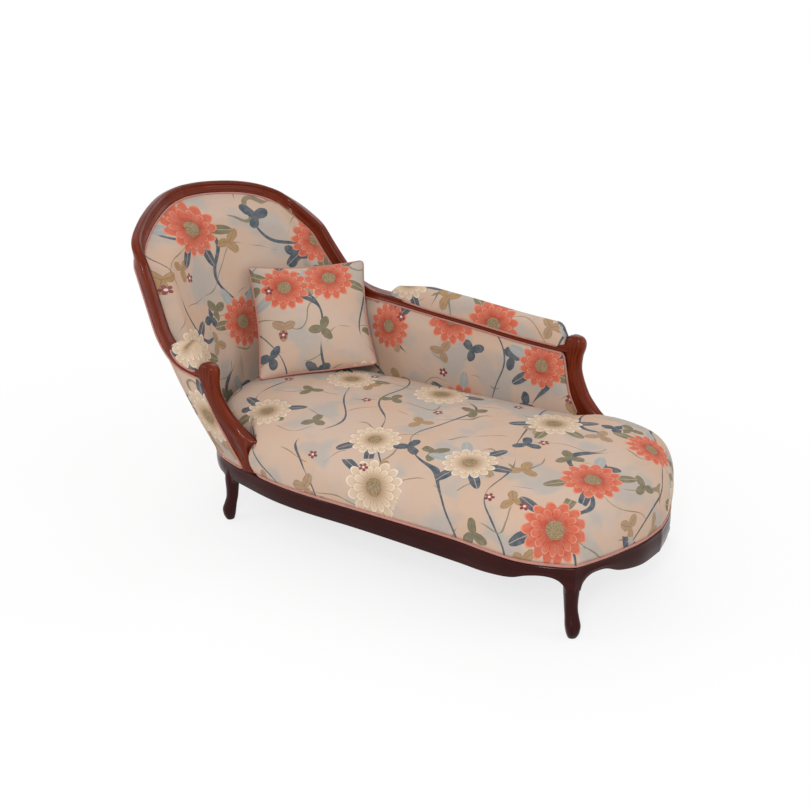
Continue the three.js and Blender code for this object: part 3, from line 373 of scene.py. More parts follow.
def wall_face(place, z):
    foot = plan_point(place)
    rise = z - RAIL_TOP
    width = abs(foot.y)
    target = mix(width, ARM_HALF_WIDTH, smooth(min(1, width / POST_HALF_WIDTH) ** 3))
    flare = 1 - (1 - clamp(rise / (FLARE_TOP - RAIL_TOP))) ** FLARE_EASE
    return Vector((foot.x - RECLINE * rise, math.copysign(1, place) * mix(width, target, flare), z))


def wall_normal(place, z):
    along = wall_face(place + PLACE_STEP, z) - wall_face(place - PLACE_STEP, z)
    up = wall_face(place, z + HEIGHT_STEP) - wall_face(place, z - HEIGHT_STEP)
    return along.cross(up).normalized()


def wall_point(place, z, depth):
    normal = wall_normal(place, z)
    level = math.hypot(normal.x, normal.y)
    return wall_face(place, z) + Vector((normal.x, normal.y, 0)) * (depth / level / level)


def edge_knots(rows, foot_x, arm_z, side):
    return [
        (place_at_x(mix(foot_x, -HEAD_REACH, run), side) * half_plan.length, 0, mix(arm_z, BACK_HEIGHT, rise))
        for run, rise in rows
    ]


show_edge = Route(
    edge_knots(NEAR_EDGE, NEAR_SCROLL_X + RECLINE * (NEAR_ARM_Z - RAIL_TOP), NEAR_ARM_Z, -1)
    + [(0, 0, BACK_HEIGHT)]
    + edge_knots(FAR_EDGE, FAR_SCROLL_X + RECLINE * (FAR_ARM_Z - RAIL_TOP), FAR_ARM_Z, 1)[::-1], 800,
)


@functools.lru_cache(maxsize=None)
def edge_at(show, down=0.0):
    """The plan place and the height of the show edge at a show place, moved towards the panels."""
    held = clamp(show)
    x, _, z = show_edge.point(held)
    a, b = show_edge.point(clamp(held - EDGE_STEP)), show_edge.point(clamp(held + EDGE_STEP))
    span = math.hypot(b[0] - a[0], b[2] - a[2])
    return (x + (b[2] - a[2]) / span * down) / half_plan.length, z - (b[0] - a[0]) / span * down


def edge_point(show):
    return wall_face(*edge_at(show))


def show_over(place):
    return share_where(lambda share: edge_at(share)[0], place)


def show_step(length):
    return length / show_edge.length


NEAR_JOINT = show_over(place_at_x(NEAR_JOINT_X, -1))
FAR_JOINT = show_over(place_at_x(FAR_JOINT_X, 1))
NEAR_CREST = show_over(place_at_x(CREST_JOINT_X, -1))
FAR_CREST = show_over(place_at_x(CREST_JOINT_X, 1))
HEAD_LEG_PLACE = place_at_x(HEAD_LEG_X, 1)
FOOT_LEG_PLACE = place_at_x(FOOT_LEG_X, 1)


def arm_share(show):
    blend = show_step(3 * ARCH_FACE)
    near = 1 - smooth((show - NEAR_JOINT) / blend + 0.5)
    far = smooth((show - FAR_JOINT) / blend + 0.5)
    return max(near, far)


def show_face(show):
    return mix(ARCH_FACE, ARM_FACE, arm_share(show))


def show_depth(show):
    return mix(ARCH_DEPTH, ARM_DEPTH, arm_share(show))


@functools.lru_cache(maxsize=None)
def show_frame(show):
    along = (edge_point(show + PLACE_STEP) - edge_point(show - PLACE_STEP)).normalized()
    inward = wall_normal(*edge_at(show))
    square = along.cross(inward).normalized()
    return along, square.cross(along).normalized(), square


def on_show(show, down, deep):
    """A point across the show wood: down from its outer edge and deep from its outer face."""
    _, inward, square = show_frame(show)
    return edge_point(show) + square * down + inward * deep


# Meshes


def lofted(rings, flat=None, closed=True, ends=True, map_name="print"):
    """Moves a grid onto rings of points; closed joins each ring to itself, and ends fills both ends."""
    rows = len(rings[0]) if closed else len(rings[0]) - 1
    mesh = bmesh.new()
    layer = mesh.loops.layers.uv.new(map_name)
    bmesh.ops.create_grid(mesh, x_segments=len(rings) - 1, y_segments=rows, size=0.5, calc_uvs=True)
    for face in mesh.faces:
        for loop in face.loops:
            u, v = loop[layer].uv
            loop[layer].uv = flat(u, v) if flat else (u, v)
    for vert in mesh.verts:
        i = round((vert.co.x + 0.5) * (len(rings) - 1))
        j = round((vert.co.y + 0.5) * rows)
        vert.co = rings[i][j % len(rings[0])]
    bmesh.ops.remove_doubles(mesh, verts=mesh.verts, dist=CLOSEST)
    if ends:
        bmesh.ops.holes_fill(mesh, edges=[e for e in mesh.edges if e.is_boundary], sides=0)
    bmesh.ops.recalc_face_normals(mesh, faces=mesh.faces)
    return mesh


def grained(rings, length, girth):
    """A wooden piece over rings, with its grain along its length."""
    return lofted(rings, lambda u, v: (u * length, v * girth), map_name="grain")


def lay_print(mesh, spot):
    """Lays the print on a mesh, with a spot of it for every point."""
    layer = mesh.loops.layers.uv.active
    for face in mesh.faces:
        for loop in face.loops:
            loop[layer].uv = spot(loop.vert.co)


def new_object(name, data):
    made = bpy.data.objects.new(name, data)
    bpy.context.scene.collection.objects.link(made)
    return made


def piece(name, mesh, slot, replaced=(), body="frame", crease=None, shift=True):
    """Makes an object at the origin from a mesh, gives it the finish of its slot, hangs it on a body and
    hides the parts that it replaces.
    """
    if shift:
        bmesh.ops.translate(mesh, verts=mesh.verts, vec=(PLAN_SHIFT, 0, 0))
    for face in mesh.faces:
        face.smooth = True
    if crease:
        for edge in mesh.edges:
            edge.smooth = not edge.is_manifold or edge.calc_face_angle(0) < math.radians(crease)
    data = bpy.data.meshes.new(name)
    mesh.to_mesh(data)
    mesh.free()
    made = new_object(name, data)
    data.materials.append(finish(slot))
    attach(made, body)
    if replaced:
        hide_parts(*replaced)
    return made


def puffed(made, held, pressure, cap, frames=20):
    """Swells a soft piece as cloth under pressure, with some of its points held."""
    before = [v.co.copy() for v in made.data.vertices]
    outwards = [v.normal.copy() for v in made.data.vertices]
    group = made.vertex_groups.new(name="held")
    group.add(held, 1.0, "REPLACE")
    cloth = made.modifiers.new("Cloth", "CLOTH")
    settings = cloth.settings
    settings.quality = 6
    settings.use_pressure = True
    settings.uniform_pressure_force = pressure
    settings.effector_weights.gravity = 0
    settings.vertex_group_mass = "held"
    cloth.point_cache.frame_start = 1
    cloth.point_cache.frame_end = frames
    for number in range(1, frames + 1):
        bpy.context.scene.frame_set(number)
    seen = made.evaluated_get(bpy.context.evaluated_depsgraph_get())
    after = [v.co.copy() for v in seen.data.vertices]
    made.modifiers.remove(cloth)
    made.vertex_groups.remove(group)
    for vert, start, end, out in zip(made.data.vertices, before, after, outwards):
        move = end - start
        move -= out * min(0.0, move.dot(out))
        vert.co = start + move * min(1.0, cap / max(move.length, 1e-9))
    bpy.context.scene.frame_set(1)


def tube(name, path, radius, replaced=(), body="frame", closed=False):
    """A welt: a cord covered in cloth that follows points, with its corners rounded."""
    count = len(path)
    for _ in range(WELT_ROUNDINGS):
        before = path[-1:] + path[:-1] if closed else path[:1] + path[:-1]
        after = path[1:] + path[:1] if closed else path[1:] + path[-1:]
        path = [(a + p * 2 + b) / 4 for a, p, b in zip(before, path, after)]
    rings = []
    lift = Vector((0, 0, 1))
    length = 0.0
    for i, p in enumerate(path):
        before = path[i - 1] if i or closed else p
        after = path[(i + 1) % count] if i < count - 1 or closed else p
        along = (after - before).normalized()
        across = along.cross(lift)
        if across.length < 0.2:
            across = along.cross(Vector((0, 1, 0)))
        across.normalize()
        lift = across.cross(along).normalized()
        length += (path[(i + 1) % count] - p).length
        end_share = 1.0 if closed or 0 < i < count - 1 else WELT_END
        rings.append([
            p + (across * math.cos(a) + lift * math.sin(a)) * radius * end_share for a in angles(WELT_SIDES)
        ])
    if closed:
        rings.append(rings[0])
    mesh = lofted(
        rings, lambda u, v: (u * length, v * 2 * math.pi * radius), ends=not closed, map_name="run"
    )
    return piece(name, mesh, "welt_cloth", replaced, body)


# Finishes


class Term:
    """One value of a finish, on which arithmetic adds Math nodes."""

    def __init__(self, finish, socket):
        self.finish = finish
        self.socket = socket

    def math(self, operation, *others):
        return self.finish.math(operation, self, *others)

    def __add__(self, other):
        return self.math("ADD", other)

    def __sub__(self, other):
        return self.math("SUBTRACT", other)

    def __rsub__(self, other):
        return self.finish.math("SUBTRACT", other, self)

    def __mul__(self, other):
        return self.math("MULTIPLY", other)

    def __truediv__(self, other):
        return self.math("DIVIDE", other)

    def __pow__(self, other):
        return self.math("POWER", other)

    def __abs__(self):
        return self.math("ABSOLUTE")

    def above(self, edge, soft=0.0):
        """1 where the value is over an edge, with a soft step."""
        if not soft:
            return self.math("GREATER_THAN", edge)
        made = self.finish.node(
            "ShaderNodeMapRange", {"interpolation_type": "SMOOTHSTEP"},
            {0: self, 1: edge - soft, 2: edge + soft, 3: 0.0, 4: 1.0},
        )
        return Term(self.finish, made.outputs[0])

    def below(self, edge, soft=0.0):
        return 1 - self.above(edge, soft)


class Finish:
    """The shader nodes of a material or of the world."""

    def __init__(self, owner):
        owner.use_nodes = True
        self.owner = owner
        self.tree = owner.node_tree
        self.tree.nodes.clear()

    def node(self, kind, settings=None, inputs=None):
        made = self.tree.nodes.new(kind)
        for name, value in (settings or {}).items():
            setattr(made, name, value)
        for name, value in (inputs or {}).items():
            if isinstance(value, Term):
                value = value.socket
            if isinstance(value, bpy.types.NodeSocket):
                self.tree.links.new(value, made.inputs[name])
            else:
                made.inputs[name].default_value = value
        return made

    def term(self, socket):
        return Term(self, socket)

    def math(self, operation, *values):
        inputs = dict(enumerate(values))
        return self.term(self.node("ShaderNodeMath", {"operation": operation}, inputs).outputs[0])

    def ramp(self, share, stops, way="LINEAR"):
        """The colour at a share between stops."""
        made = self.node("ShaderNodeValToRGB", None, {0: share})
        made.color_ramp.interpolation = way
        elements = made.color_ramp.elements
        while len(elements) < len(stops):
            elements.new(0.5)
        for element, (place, tone) in zip(elements, stops):
            element.position = place
            element.color = (*tone[:3], 1)
        return made.outputs[0]

    def blend(self, share, a, b, way="MIX"):
        """Mixes two colours."""
        ends = [c if isinstance(c, bpy.types.NodeSocket) else (*c[:3], 1) for c in (a, b)]
        settings = {"data_type": "RGBA", "blend_type": way}
        return self.node("ShaderNodeMix", settings, {0: share, 6: ends[0], 7: ends[1]}).outputs[2]

    def vector(self, operation, a, b=None, scale=None):
        inputs = {0: a}
        if b is not None:
            inputs[1] = b
        if scale is not None:
            inputs["Scale"] = scale
        return self.node("ShaderNodeVectorMath", {"operation": operation}, inputs).outputs[0]

    def split(self, vector):
        made = self.node("ShaderNodeSeparateXYZ", None, {0: vector})
        return [self.term(made.outputs[i]) for i in range(3)]

    def joined(self, x, y):
        return self.node("ShaderNodeCombineXYZ", None, {0: x, 1: y}).outputs[0]

    def clouds(self, vector, scale, detail=3.0, roughness=0.5):
        return self.node(
            "ShaderNodeTexNoise", None,
            {"Vector": vector, "Scale": scale, "Detail": detail, "Roughness": roughness},
        )

    def noise(self, vector, scale, detail=3.0, roughness=0.5):
        """A value that drifts at random with a vector."""
        return self.term(self.clouds(vector, scale, detail, roughness).outputs[0])

    def wander(self, vector, scale, reach):
        """A short way, up to half a reach, that drifts at random with a vector."""
        drawn = self.clouds(vector, scale, 2.0).outputs[1]
        return self.vector("SCALE", self.vector("SUBTRACT", drawn, (0.5, 0.5, 0.5)), scale=reach)

    def on_map(self, name):
        return self.node("ShaderNodeUVMap", {"uv_map": name}).outputs[0]

    def on_object(self):
        return self.node("ShaderNodeTexCoord").outputs["Object"]

    def bump(self, height, distance, strength):
        inputs = {"Height": height, "Distance": distance, "Strength": strength}
        return self.node("ShaderNodeBump", None, inputs).outputs[0]

    def sees_white(self):
        """1 for the rays that are shown plain white: those of the camera, and those off and through gloss."""
        path = self.node("ShaderNodeLightPath").outputs
        seen = self.term(path["Is Camera Ray"]).math("MAXIMUM", self.term(path["Is Glossy Ray"]))
        return seen.math("MAXIMUM", self.term(path["Is Transmission Ray"]))

    def surface(self, **inputs):
        """The shader; what follows the surface is linked, and constants stand on its own sockets."""
        named = {name.replace("_", " "): value for name, value in inputs.items()}
        shader = self.node("ShaderNodeBsdfPrincipled", None, named)
        self.node("ShaderNodeOutputMaterial", None, {0: shader.outputs[0]})
        return self.owner


def new_finish(name):
    return Finish(bpy.data.materials.new(name))


def wood_finish(name, light, dark, rough, mapped=True, coat=0.2, grain=(3.0, 55.0)):
    """Polished or sawn wood; its grain follows the piece."""
    f = new_finish(name)
    along = f.on_map("grain") if mapped else f.on_object()
    mapping = {"Vector": along, "Scale": (grain[0], grain[1], grain[1])}
    stretched = f.node("ShaderNodeMapping", {"vector_type": "POINT"}, mapping).outputs[0]
    fibre = f.noise(stretched, 3.0, 6.0, 0.62)
    figure = f.noise(stretched, 0.35, 3.0)
    pores = f.noise(stretched, 12.0, 2.0)
    share = (fibre * 0.65 + figure * 0.55 - 0.1).math("MINIMUM", 1.0)
    middle = tuple(mix(a, b, 0.42) for a, b in zip(dark, light))
    tone = f.ramp(share, [(0.32, dark), (0.52, middle), (0.74, light)])
    spots = pores.below(0.38, 0.05) * 0.35
    tone = f.blend(spots, tone, tuple(c * 0.35 for c in dark))
    rough = f.noise(f.on_object(), 9.0, 2.0) * 0.1 + rough + spots * 0.2
    normal = f.bump(fibre * 0.5 + pores, 0.0002, 0.35)
    return f.surface(
        Base_Color=tone, Roughness=rough, Normal=normal, Coat_Weight=coat, Coat_Roughness=0.13,
        Specular_IOR_Level=0.05,
    )


def weave(f, vector, pitch):
    """Over and under threads at a pitch."""
    x, y, _ = f.split(vector)
    return (x * (2 * math.pi / pitch)).math("SINE") * (y * (2 * math.pi / pitch)).math("SINE")


# The print of the linen


def motifs(f, vector, pitch, chance):
    """Motifs near a pitch apart: the nearest one's distance, the angle round it, and two random values."""
    scaled = f.vector("SCALE", vector, scale=1 / pitch)
    cells = f.node(
        "ShaderNodeTexVoronoi", {"voronoi_dimensions": "2D", "feature": "F1"},
        {"Vector": scaled, "Scale": 1.0, "Randomness": chance},
    )
    away = f.vector("SCALE", f.vector("SUBTRACT", scaled, cells.outputs["Position"]), scale=pitch)
    x, y, _ = f.split(away)
    turn, second, third = f.split(cells.outputs["Color"])
    return (x * x + y * y).math("SQRT"), y.math("ARCTAN2", x) + turn * (2 * math.pi), second, third


def rays(f, reach, angle, count, seed):
    """Equal rays round a motif: the ways along and across the nearest one, and its own random value."""
    turn = angle * (count / (2 * math.pi))
    number = turn.math("FLOOR")
    slant = (turn - number - 0.5) * (2 * math.pi / count)
    lot = f.node("ShaderNodeTexWhiteNoise", {"noise_dimensions": "2D"}, {"Vector": f.joined(number, seed)})
    return reach * slant.math("COSINE"), reach * slant.math("SINE"), f.term(lot.outputs[0])


def ground_tone(f, place, shaken, c):
    """Warm cream with soft washes."""
    drifted = f.vector("ADD", shaken, f.wander(place, 9.0, 0.055))
    tone = f.blend(f.noise(place, 4.0).above(0.52, 0.16), c.ground, c.ground_warm)
    return f.blend(f.noise(drifted, 7.0, 2.0).above(0.56, 0.08) * 0.55, tone, c.wash)


def with_vines(f, place, tone, c):
    """Vines and thinner tendrils: swaying lines, broken here and there."""
    across, down, _ = f.split(place)
    for slope, sway, gate, width, ink, cover in (
        ((4.4, 1.6), (3.6, 2.0), (5.0, 0.42, 0.1), 0.024, c.slate, 1.0),
        ((-2.6, 7.0), (7.0, 1.7), (9.0, 0.5, 0.06), 0.02, c.olive, 0.85),
    ):
        run = across * slope[0] + down * slope[1] + f.noise(place, sway[0], 0.0) * sway[1]
        width_here = f.noise(place, gate[0], 1.0).above(gate[1], gate[2]) * width
        line = abs(run.math("FRACT") - 0.5).math("LESS_THAN", width_here)
        tone = f.blend(line * cover, tone, ink)
    return tone


def with_trefoils(f, place, tone, c):
    """Sprigs of three broad leaves."""
    reach, angle, chance, kind = motifs(f, place, 0.15, 0.85)
    run, side, lot = rays(f, reach, angle, 3, chance * 31.0)
    side = abs(side)
    share = run / (lot * 0.01 + 0.042)
    width = (share * (1.0 - share)).math("MAXIMUM", 0.0).math("SQRT") * 0.03
    leaf = side.math("LESS_THAN", width) * chance.above(0.3)
    ink = f.ramp(kind, [(0.0, c.slate), (0.33, c.ochre), (0.6, c.olive), (0.82, c.tan)], "CONSTANT")
    midrib = side.below(0.0008, 0.0004).math("MAXIMUM", (side / width).above(0.82, 0.06) * 0.5)
    return f.blend(leaf, tone, f.blend(midrib * 0.6, ink, c.slate))


def with_daisies(f, place, tone, c):
    """Open daisies with a large eye, on plain oval leaves."""
    reach, angle, chance, kind = motifs(f, place, 0.33, 0.6)
    size = chance * 0.026 + 0.078
    coral = kind.below(0.62)
    shown = kind.below(0.93)
    run, side, lot = rays(f, reach, angle, 6, chance * 57.0)
    run = run - size * 1.1
    leaf = (run * run * 0.5 + side * side * 3.2).math("SQRT").math("LESS_THAN", 0.03) * lot.above(0.4) * shown
    ink = f.ramp(lot, [(0.0, c.slate), (0.66, c.olive), (0.84, c.wash)], "CONSTANT")
    tone = f.blend(leaf, tone, f.blend(abs(side).below(0.0014) * 0.6, ink, c.ground))
    rim, bright, deep = (
        f.blend(coral, pale, red)
        for pale, red in ((c.ivory, c.coral_light), (c.cream, c.coral), (c.tan, c.coral_deep))
    )
    petals = 14
    for share, phase in ((1.0, 0.0), (0.72, math.pi / petals)):
        wave = abs(((angle + phase) * (petals / 2)).math("COSINE"))
        inside = reach / (size * (wave ** 0.6 * 0.3 + 0.7) * share)
        petal = f.blend(inside.above(0.6, 0.3), deep, bright)
        petal = f.blend(inside.above(0.94, 0.02), petal, rim)
        petal = f.blend(wave.below(0.16, 0.06), petal, deep)
        tone = f.blend(inside.math("LESS_THAN", 1.0) * shown, tone, petal)
    seeds = f.noise(place, 220.0, 1.0).above(0.52, 0.04)
    return f.blend((reach / size).below(0.27) * shown, tone, f.blend(seeds, c.olive, c.ochre))


def with_small_flowers(f, place, tone, c):
    """Small flowers of five petals."""
    reach, angle, chance, _ = motifs(f, place, 0.19, 0.9)
    petal = abs((angle * 2.5).math("COSINE")) ** 0.5 * 0.013 + 0.004
    flower = reach.math("LESS_THAN", petal) * chance.below(0.3)
    return f.blend(flower, tone, f.blend(reach.below(0.0045), c.maroon, c.ivory))


def print_finish(name, c):
    """Printed linen with uneven ink and slubbed thread."""
    f = new_finish(name)
    place = f.on_map("print")
    shaken = f.vector("ADD", place, f.wander(place, 60.0, 0.008))
    tone = ground_tone(f, place, shaken, c)
    tone = with_vines(f, place, tone, c)
    tone = with_trefoils(f, shaken, tone, c)
    tone = with_daisies(f, place, tone, c)
    tone = with_small_flowers(f, place, tone, c)
    faded = f.noise(place, 45.0, 4.0, 0.65).above(0.52, 0.2) * 0.2
    tone = f.blend(faded, tone, c.ground)
    slub = f.noise(f.vector("MULTIPLY", place, (60.0, 700.0, 1.0)), 1.0, 2.0)
    tone = f.blend((slub * 0.16).math("MINIMUM", 1.0), tone, c.ground_warm, "MULTIPLY")
    normal = f.bump(weave(f, place, 0.0014) * 0.5 + slub, 0.00035, 0.5)
    return f.surface(Base_Color=tone, Roughness=slub * 0.12 + 0.8, Normal=normal, Specular_IOR_Level=0.25)


def cloth_finish(name, light, dark, pitch, map_name=None):
    """Plain woven cloth, on its own map or on the object."""
    f = new_finish(name)
    place = f.on_map(map_name) if map_name else f.on_object()
    threads = weave(f, place, pitch)
    cloud = f.noise(place, 35.0)
    tone = f.blend((threads * 0.3 + cloud).math("MINIMUM", 1.0), dark, light)
    normal = f.bump(threads + cloud, pitch * 0.3, 0.6)
    return f.surface(Base_Color=tone, Roughness=cloud * 0.1 + 0.85, Normal=normal, Specular_IOR_Level=0.25)


def steel_finish(name, light, dark):
    """Drawn wire with a few darker stretches."""
    f = new_finish(name)
    cloud = f.noise(f.on_object(), 90.0, 4.0)
    tone = f.blend(cloud.above(0.45, 0.25), dark, light)
    normal = f.bump(cloud, 0.0002, 0.4)
    return f.surface(Base_Color=tone, Roughness=cloud * 0.25 + 0.28, Metallic=1.0, Normal=normal)


def hair_finish(name, light, dark):
    """Curled hair."""
    f = new_finish(name)
    place = f.vector("ADD", f.on_object(), f.clouds(f.on_object(), 40.0, 2.0).outputs[1])
    strands = f.noise(place, 140.0, 6.0, 0.75)
    tone = f.blend(strands, dark, light)
    return f.surface(Base_Color=tone, Roughness=strands * 0.1 + 0.85, Normal=f.bump(strands, 0.002, 0.8))


# Sizes and colours that a user would change


def colour(name, description, default):
    return FloatVectorProperty(
        name=name, description=description, default=default, subtype="COLOR", size=3, min=0, max=1
    )


def length(name, description, default):
    return FloatProperty(
        name=name, description=description, default=default, unit="LENGTH", min=0.0005, max=0.2
    )


class RecamierSizes(bpy.types.PropertyGroup):
    """Sizes of the trim and the soft parts."""

    seat_welt: length("Seat welt", "Diameter of the welt along the seat", 0.009)
    panel_welt: length("Panel welt", "Diameter of the welt along the panels and pads", 0.0065)
    pillow_welt: length("Pillow welt", "Diameter of the welt round the pillow", 0.007)
    outer_bead: length("Outer bead", "Radius of the bead along the arch", 0.010)
    seat_puff: length("Seat puff", "Most that the seat swells", 0.004)
    pad_puff: length("Pad puff", "Most that an arm pad swells", 0.004)
    pillow_puff: length("Pillow puff", "Most that the pillow swells", 0.014)


class RecamierColours(bpy.types.PropertyGroup):
    """Colours of the finishes."""

    ground: colour("Ground", "Ground of the print", (0.53, 0.40, 0.32))
    ground_warm: colour("Warm ground", "Warmer ground of the print", (0.54, 0.37, 0.265))
    wash: colour("Wash", "Pale wash of the print", (0.31, 0.345, 0.345))
    ivory: colour("Ivory", "Rims of the pale petals", (0.72, 0.62, 0.50))
    cream: colour("Cream", "Pale petals", (0.60, 0.46, 0.33))
    tan: colour("Tan", "Depths of the pale petals", (0.36, 0.23, 0.13))
    coral: colour("Coral", "Bright petals", (0.56, 0.118, 0.064))
    coral_light: colour("Light coral", "Rims of the bright petals", (0.66, 0.23, 0.145))
    coral_deep: colour("Deep coral", "Depths of the bright petals", (0.36, 0.045, 0.02))
    slate: colour("Slate", "Blue leaves and vines", (0.052, 0.080, 0.105))
    olive: colour("Olive", "Green leaves", (0.17, 0.15, 0.085))
    ochre: colour("Ochre", "Ochre trefoils and the seeds of the eyes", (0.36, 0.22, 0.10))
    maroon: colour("Maroon", "Small flowers", (0.20, 0.035, 0.045))
    welt: colour("Welt", "Piping cloth", (0.56, 0.26, 0.21))
    show_wood: colour("Show wood", "Light of the polished arch and stumps", (0.25, 0.034, 0.008))
    show_wood_dark: colour("Dark show wood", "Grain of the arch and stumps", (0.044, 0.004, 0.0012))
    mahogany: colour("Mahogany", "Light of the seat frame and legs", (0.050, 0.0038, 0.0026))
    mahogany_dark: colour("Dark mahogany", "Grain of the seat frame and legs", (0.015, 0.0014, 0.001))
    floor: colour("Floor", "Floor of the stage", (0.80, 0.80, 0.80))


@functools.lru_cache(maxsize=None)
def finish(slot):
    """The finish of a material slot, made once."""
    c = bpy.context.scene.recamier_colours
    makers = {
        "show_wood": lambda: wood_finish("show wood", c.show_wood, c.show_wood_dark, rough=0.16),
        "mahogany": lambda: wood_finish("mahogany", c.mahogany, c.mahogany_dark, rough=0.18),
        "beech": lambda: wood_finish(
            "beech", (0.52, 0.34, 0.18), (0.33, 0.19, 0.09), rough=0.55, mapped=False, coat=0.0,
            grain=(2.0, 30.0),
        ),
        "floral_cloth": lambda: print_finish("printed linen", c),
        "welt_cloth": lambda: cloth_finish(
            "welt cloth", c.welt, tuple(v * 0.7 for v in c.welt), pitch=0.001, map_name="run"
        ),
        "jute": lambda: cloth_finish("jute", (0.42, 0.30, 0.16), (0.18, 0.12, 0.06), pitch=0.003),
        "horsehair": lambda: hair_finish("curled hair", (0.17, 0.12, 0.08), (0.03, 0.02, 0.015)),
        "spring_steel": lambda: steel_finish("spring steel", (0.48, 0.49, 0.51), (0.2, 0.2, 0.21)),
        "black_cambric": lambda: cloth_finish(
            "black cambric", (0.03, 0.03, 0.033), (0.008, 0.008, 0.009), pitch=0.0012
        ),
    }
    return makers[slot]()


# Wooden pieces


def arc(centre, radius, start, end, count):
    return [
        (centre[0] + radius * math.cos(math.radians(a)), centre[1] + radius * math.sin(math.radians(a)))
        for a in spread(start, end, count)
    ]


def show_profile(face, depth, bead):
    """Outline of the show wood: an outer bead, a shallow hollow and an inner bead."""
    lip = min(0.0045, face * 0.13)
    back = 0.006
    hollow = [
        (mix(2 * bead + 0.001, face - 2 * lip - 0.001, t), depth - 0.0022 - 0.0016 * math.sin(math.pi * t))
        for t in spread(0, 1, 6)
    ]
    return [
        *arc((bead, depth - bead), bead, 180, 62, 8),
        (bead * 1.62, depth - 0.0034),
        *[p for p in hollow if p[0] > bead * 1.7],
        *arc((face - lip, depth - lip - 0.0006), lip, 140, 0, 6),
        (face, depth * 0.5),
        *arc((face - back, back), back, 0, -90, 4),
        *arc((back, back), back, -90, -180, 5),
    ]


class RECAMIER_OT_show_wood(bpy.types.Operator):
    """Makes the crest rail, the two back posts and the two arm rails"""

    bl_idname = "recamier.show_wood"
    bl_label = "Show wood"

    def execute(self, context):
        bead = context.scene.recamier_sizes.outer_bead
        gap = show_step(JOINT_GAP / 2)
        runs = {
            "near_arm_rail": (0, NEAR_JOINT - gap),
            "near_back_post": (NEAR_JOINT + gap, NEAR_CREST - gap),
            "crest_rail": (NEAR_CREST + gap, FAR_CREST - gap),
            "far_back_post": (FAR_CREST + gap, FAR_JOINT - gap),
            "far_arm_rail": (FAR_JOINT + gap, 1),
        }
        for name, (start, end) in runs.items():
            run = (end - start) * show_edge.length
            rings = []
            for show in spread(start, end, max(12, round(run / WOOD_PITCH))):
                depth = show_depth(show)
                profile = show_profile(show_face(show), depth, mix(bead, ARM_BEAD, arm_share(show)))
                to_end = min(show, 1 - show) * show_edge.length
                drawn = mix(SHOW_END, 1, smooth(to_end / SHOW_END_LENGTH))
                rings.append([
                    on_show(show, down, depth / 2 + (deep - depth / 2) * drawn) for down, deep in profile
                ])
            piece(f"{name}_moulded", grained(rings, run, SHOW_GIRTH), "show_wood", (name,), crease=38)
        return {"FINISHED"}


STUMPS = {
    "near": (NEAR_STUMP_PLACE, NEAR_SCROLL_X, NEAR_STUMP_HEIGHT),
    "far": (FAR_STUMP_PLACE, FAR_SCROLL_X, FAR_STUMP_HEIGHT),
}


def stump_axis(name, rise):
    """Middle of a stump at a share of its height, its reach to the front, back and sides, and its nose."""
    place, scroll_x, height = STUMPS[name]
    base = frame_point(place, STUMP_SIZE / 2, RAIL_TOP + JOINT_GAP)
    sweep, lean, front, back, across, nose = eased(STUMP_ROWS, rise)
    head_y = math.copysign(ARM_HALF_WIDTH - STUMP_SIZE / 2, place)
    middle = Vector((mix(base.x, scroll_x, sweep), mix(base.y, head_y, lean), base.z + rise * height))
    return middle, front * STUMP_SIZE, back * STUMP_SIZE, across * STUMP_SIZE / 2, nose


def stump_ring(name, rise, count):
    """Section of a stump: squared behind, pointed in front, fluted low down and grooved at the scroll."""
    middle, front, back, half, nose = stump_axis(name, rise)
    behind = mix(0.5, 0.8, smooth((rise - 0.72) / 0.16))
    scroll = smooth((rise - 0.7) / 0.1)
    groove_at = mix(-0.35, -0.86, smooth((rise - 0.72) / 0.24))
    ring = []
    for a in angles(count):
        c, s = math.cos(a), math.sin(a)
        power = mix(0.8, nose, c) if c > 0 else mix(0.8, behind, smooth(-c * 1.6))
        side_power = 0.8 if c > 0 else power
        flute = bell(rise, 0.27, 0.13) * 0.0015 * math.cos(9 * a)
        groove = bell(c, groove_at, 0.13) * scroll * 0.0026
        bead = bell(c - groove_at, 0.3, 0.14) * scroll * 0.0012
        cove = bell(abs(s), 0.62, 0.16) * smooth((rise - 0.36) / 0.1) * smooth((0.86 - rise) / 0.1)
        carve = flute - groove + bead - cove * 0.0022 * (c > 0)
        reach = (front if c > 0 else back) + carve
        ring.append(middle + Vector((squared(c, power) * reach, squared(s, side_power) * (half + carve), 0)))
    return ring


class RECAMIER_OT_stumps(bpy.types.Operator):
    """Makes the two carved arm stumps with their scrolls"""

    bl_idname = "recamier.stumps"
    bl_label = "Arm stumps"

    def execute(self, context):
        rises = [t - 0.03 * math.sin(2 * math.pi * t) / (2 * math.pi) for t in spread(0, 1, 130)]
        for name, (_, _, height) in STUMPS.items():
            mesh = grained([stump_ring(name, rise, 64) for rise in rises], height, STUMP_GIRTH)
            piece(f"{name}_arm_stump_carved", mesh, "show_wood", (f"{name}_arm_stump",), crease=50)
        return {"FINISHED"}


def stump_back(name, tuck):
    """Plan places, by height, where cloth ends against the back of a stump."""
    rows = []
    for rise in spread(0, 0.94, 48):
        middle, _, back, _, _ = stump_axis(name, rise)
        x = middle.x - back + tuck + RECLINE * (middle.z - RAIL_TOP)
        rows.append((middle.z, place_at_x(x, 1 if name == "far" else -1)))
    return rows


def leg_drop(place):
    """How far the rail's lower edge sweeps down into a leg."""
    most = 0.0
    for leg, cove in ((HEAD_LEG_PLACE, HEAD_COVE), (FOOT_LEG_PLACE, FOOT_COVE)):
        away = (abs(abs(place) - leg) * half_plan.length - LEG_SIZE / 2) / cove
        t = 1 - clamp(away)
        most = max(most, cove * 0.9 * (1 - math.sqrt(1 - t * t)))
    return most


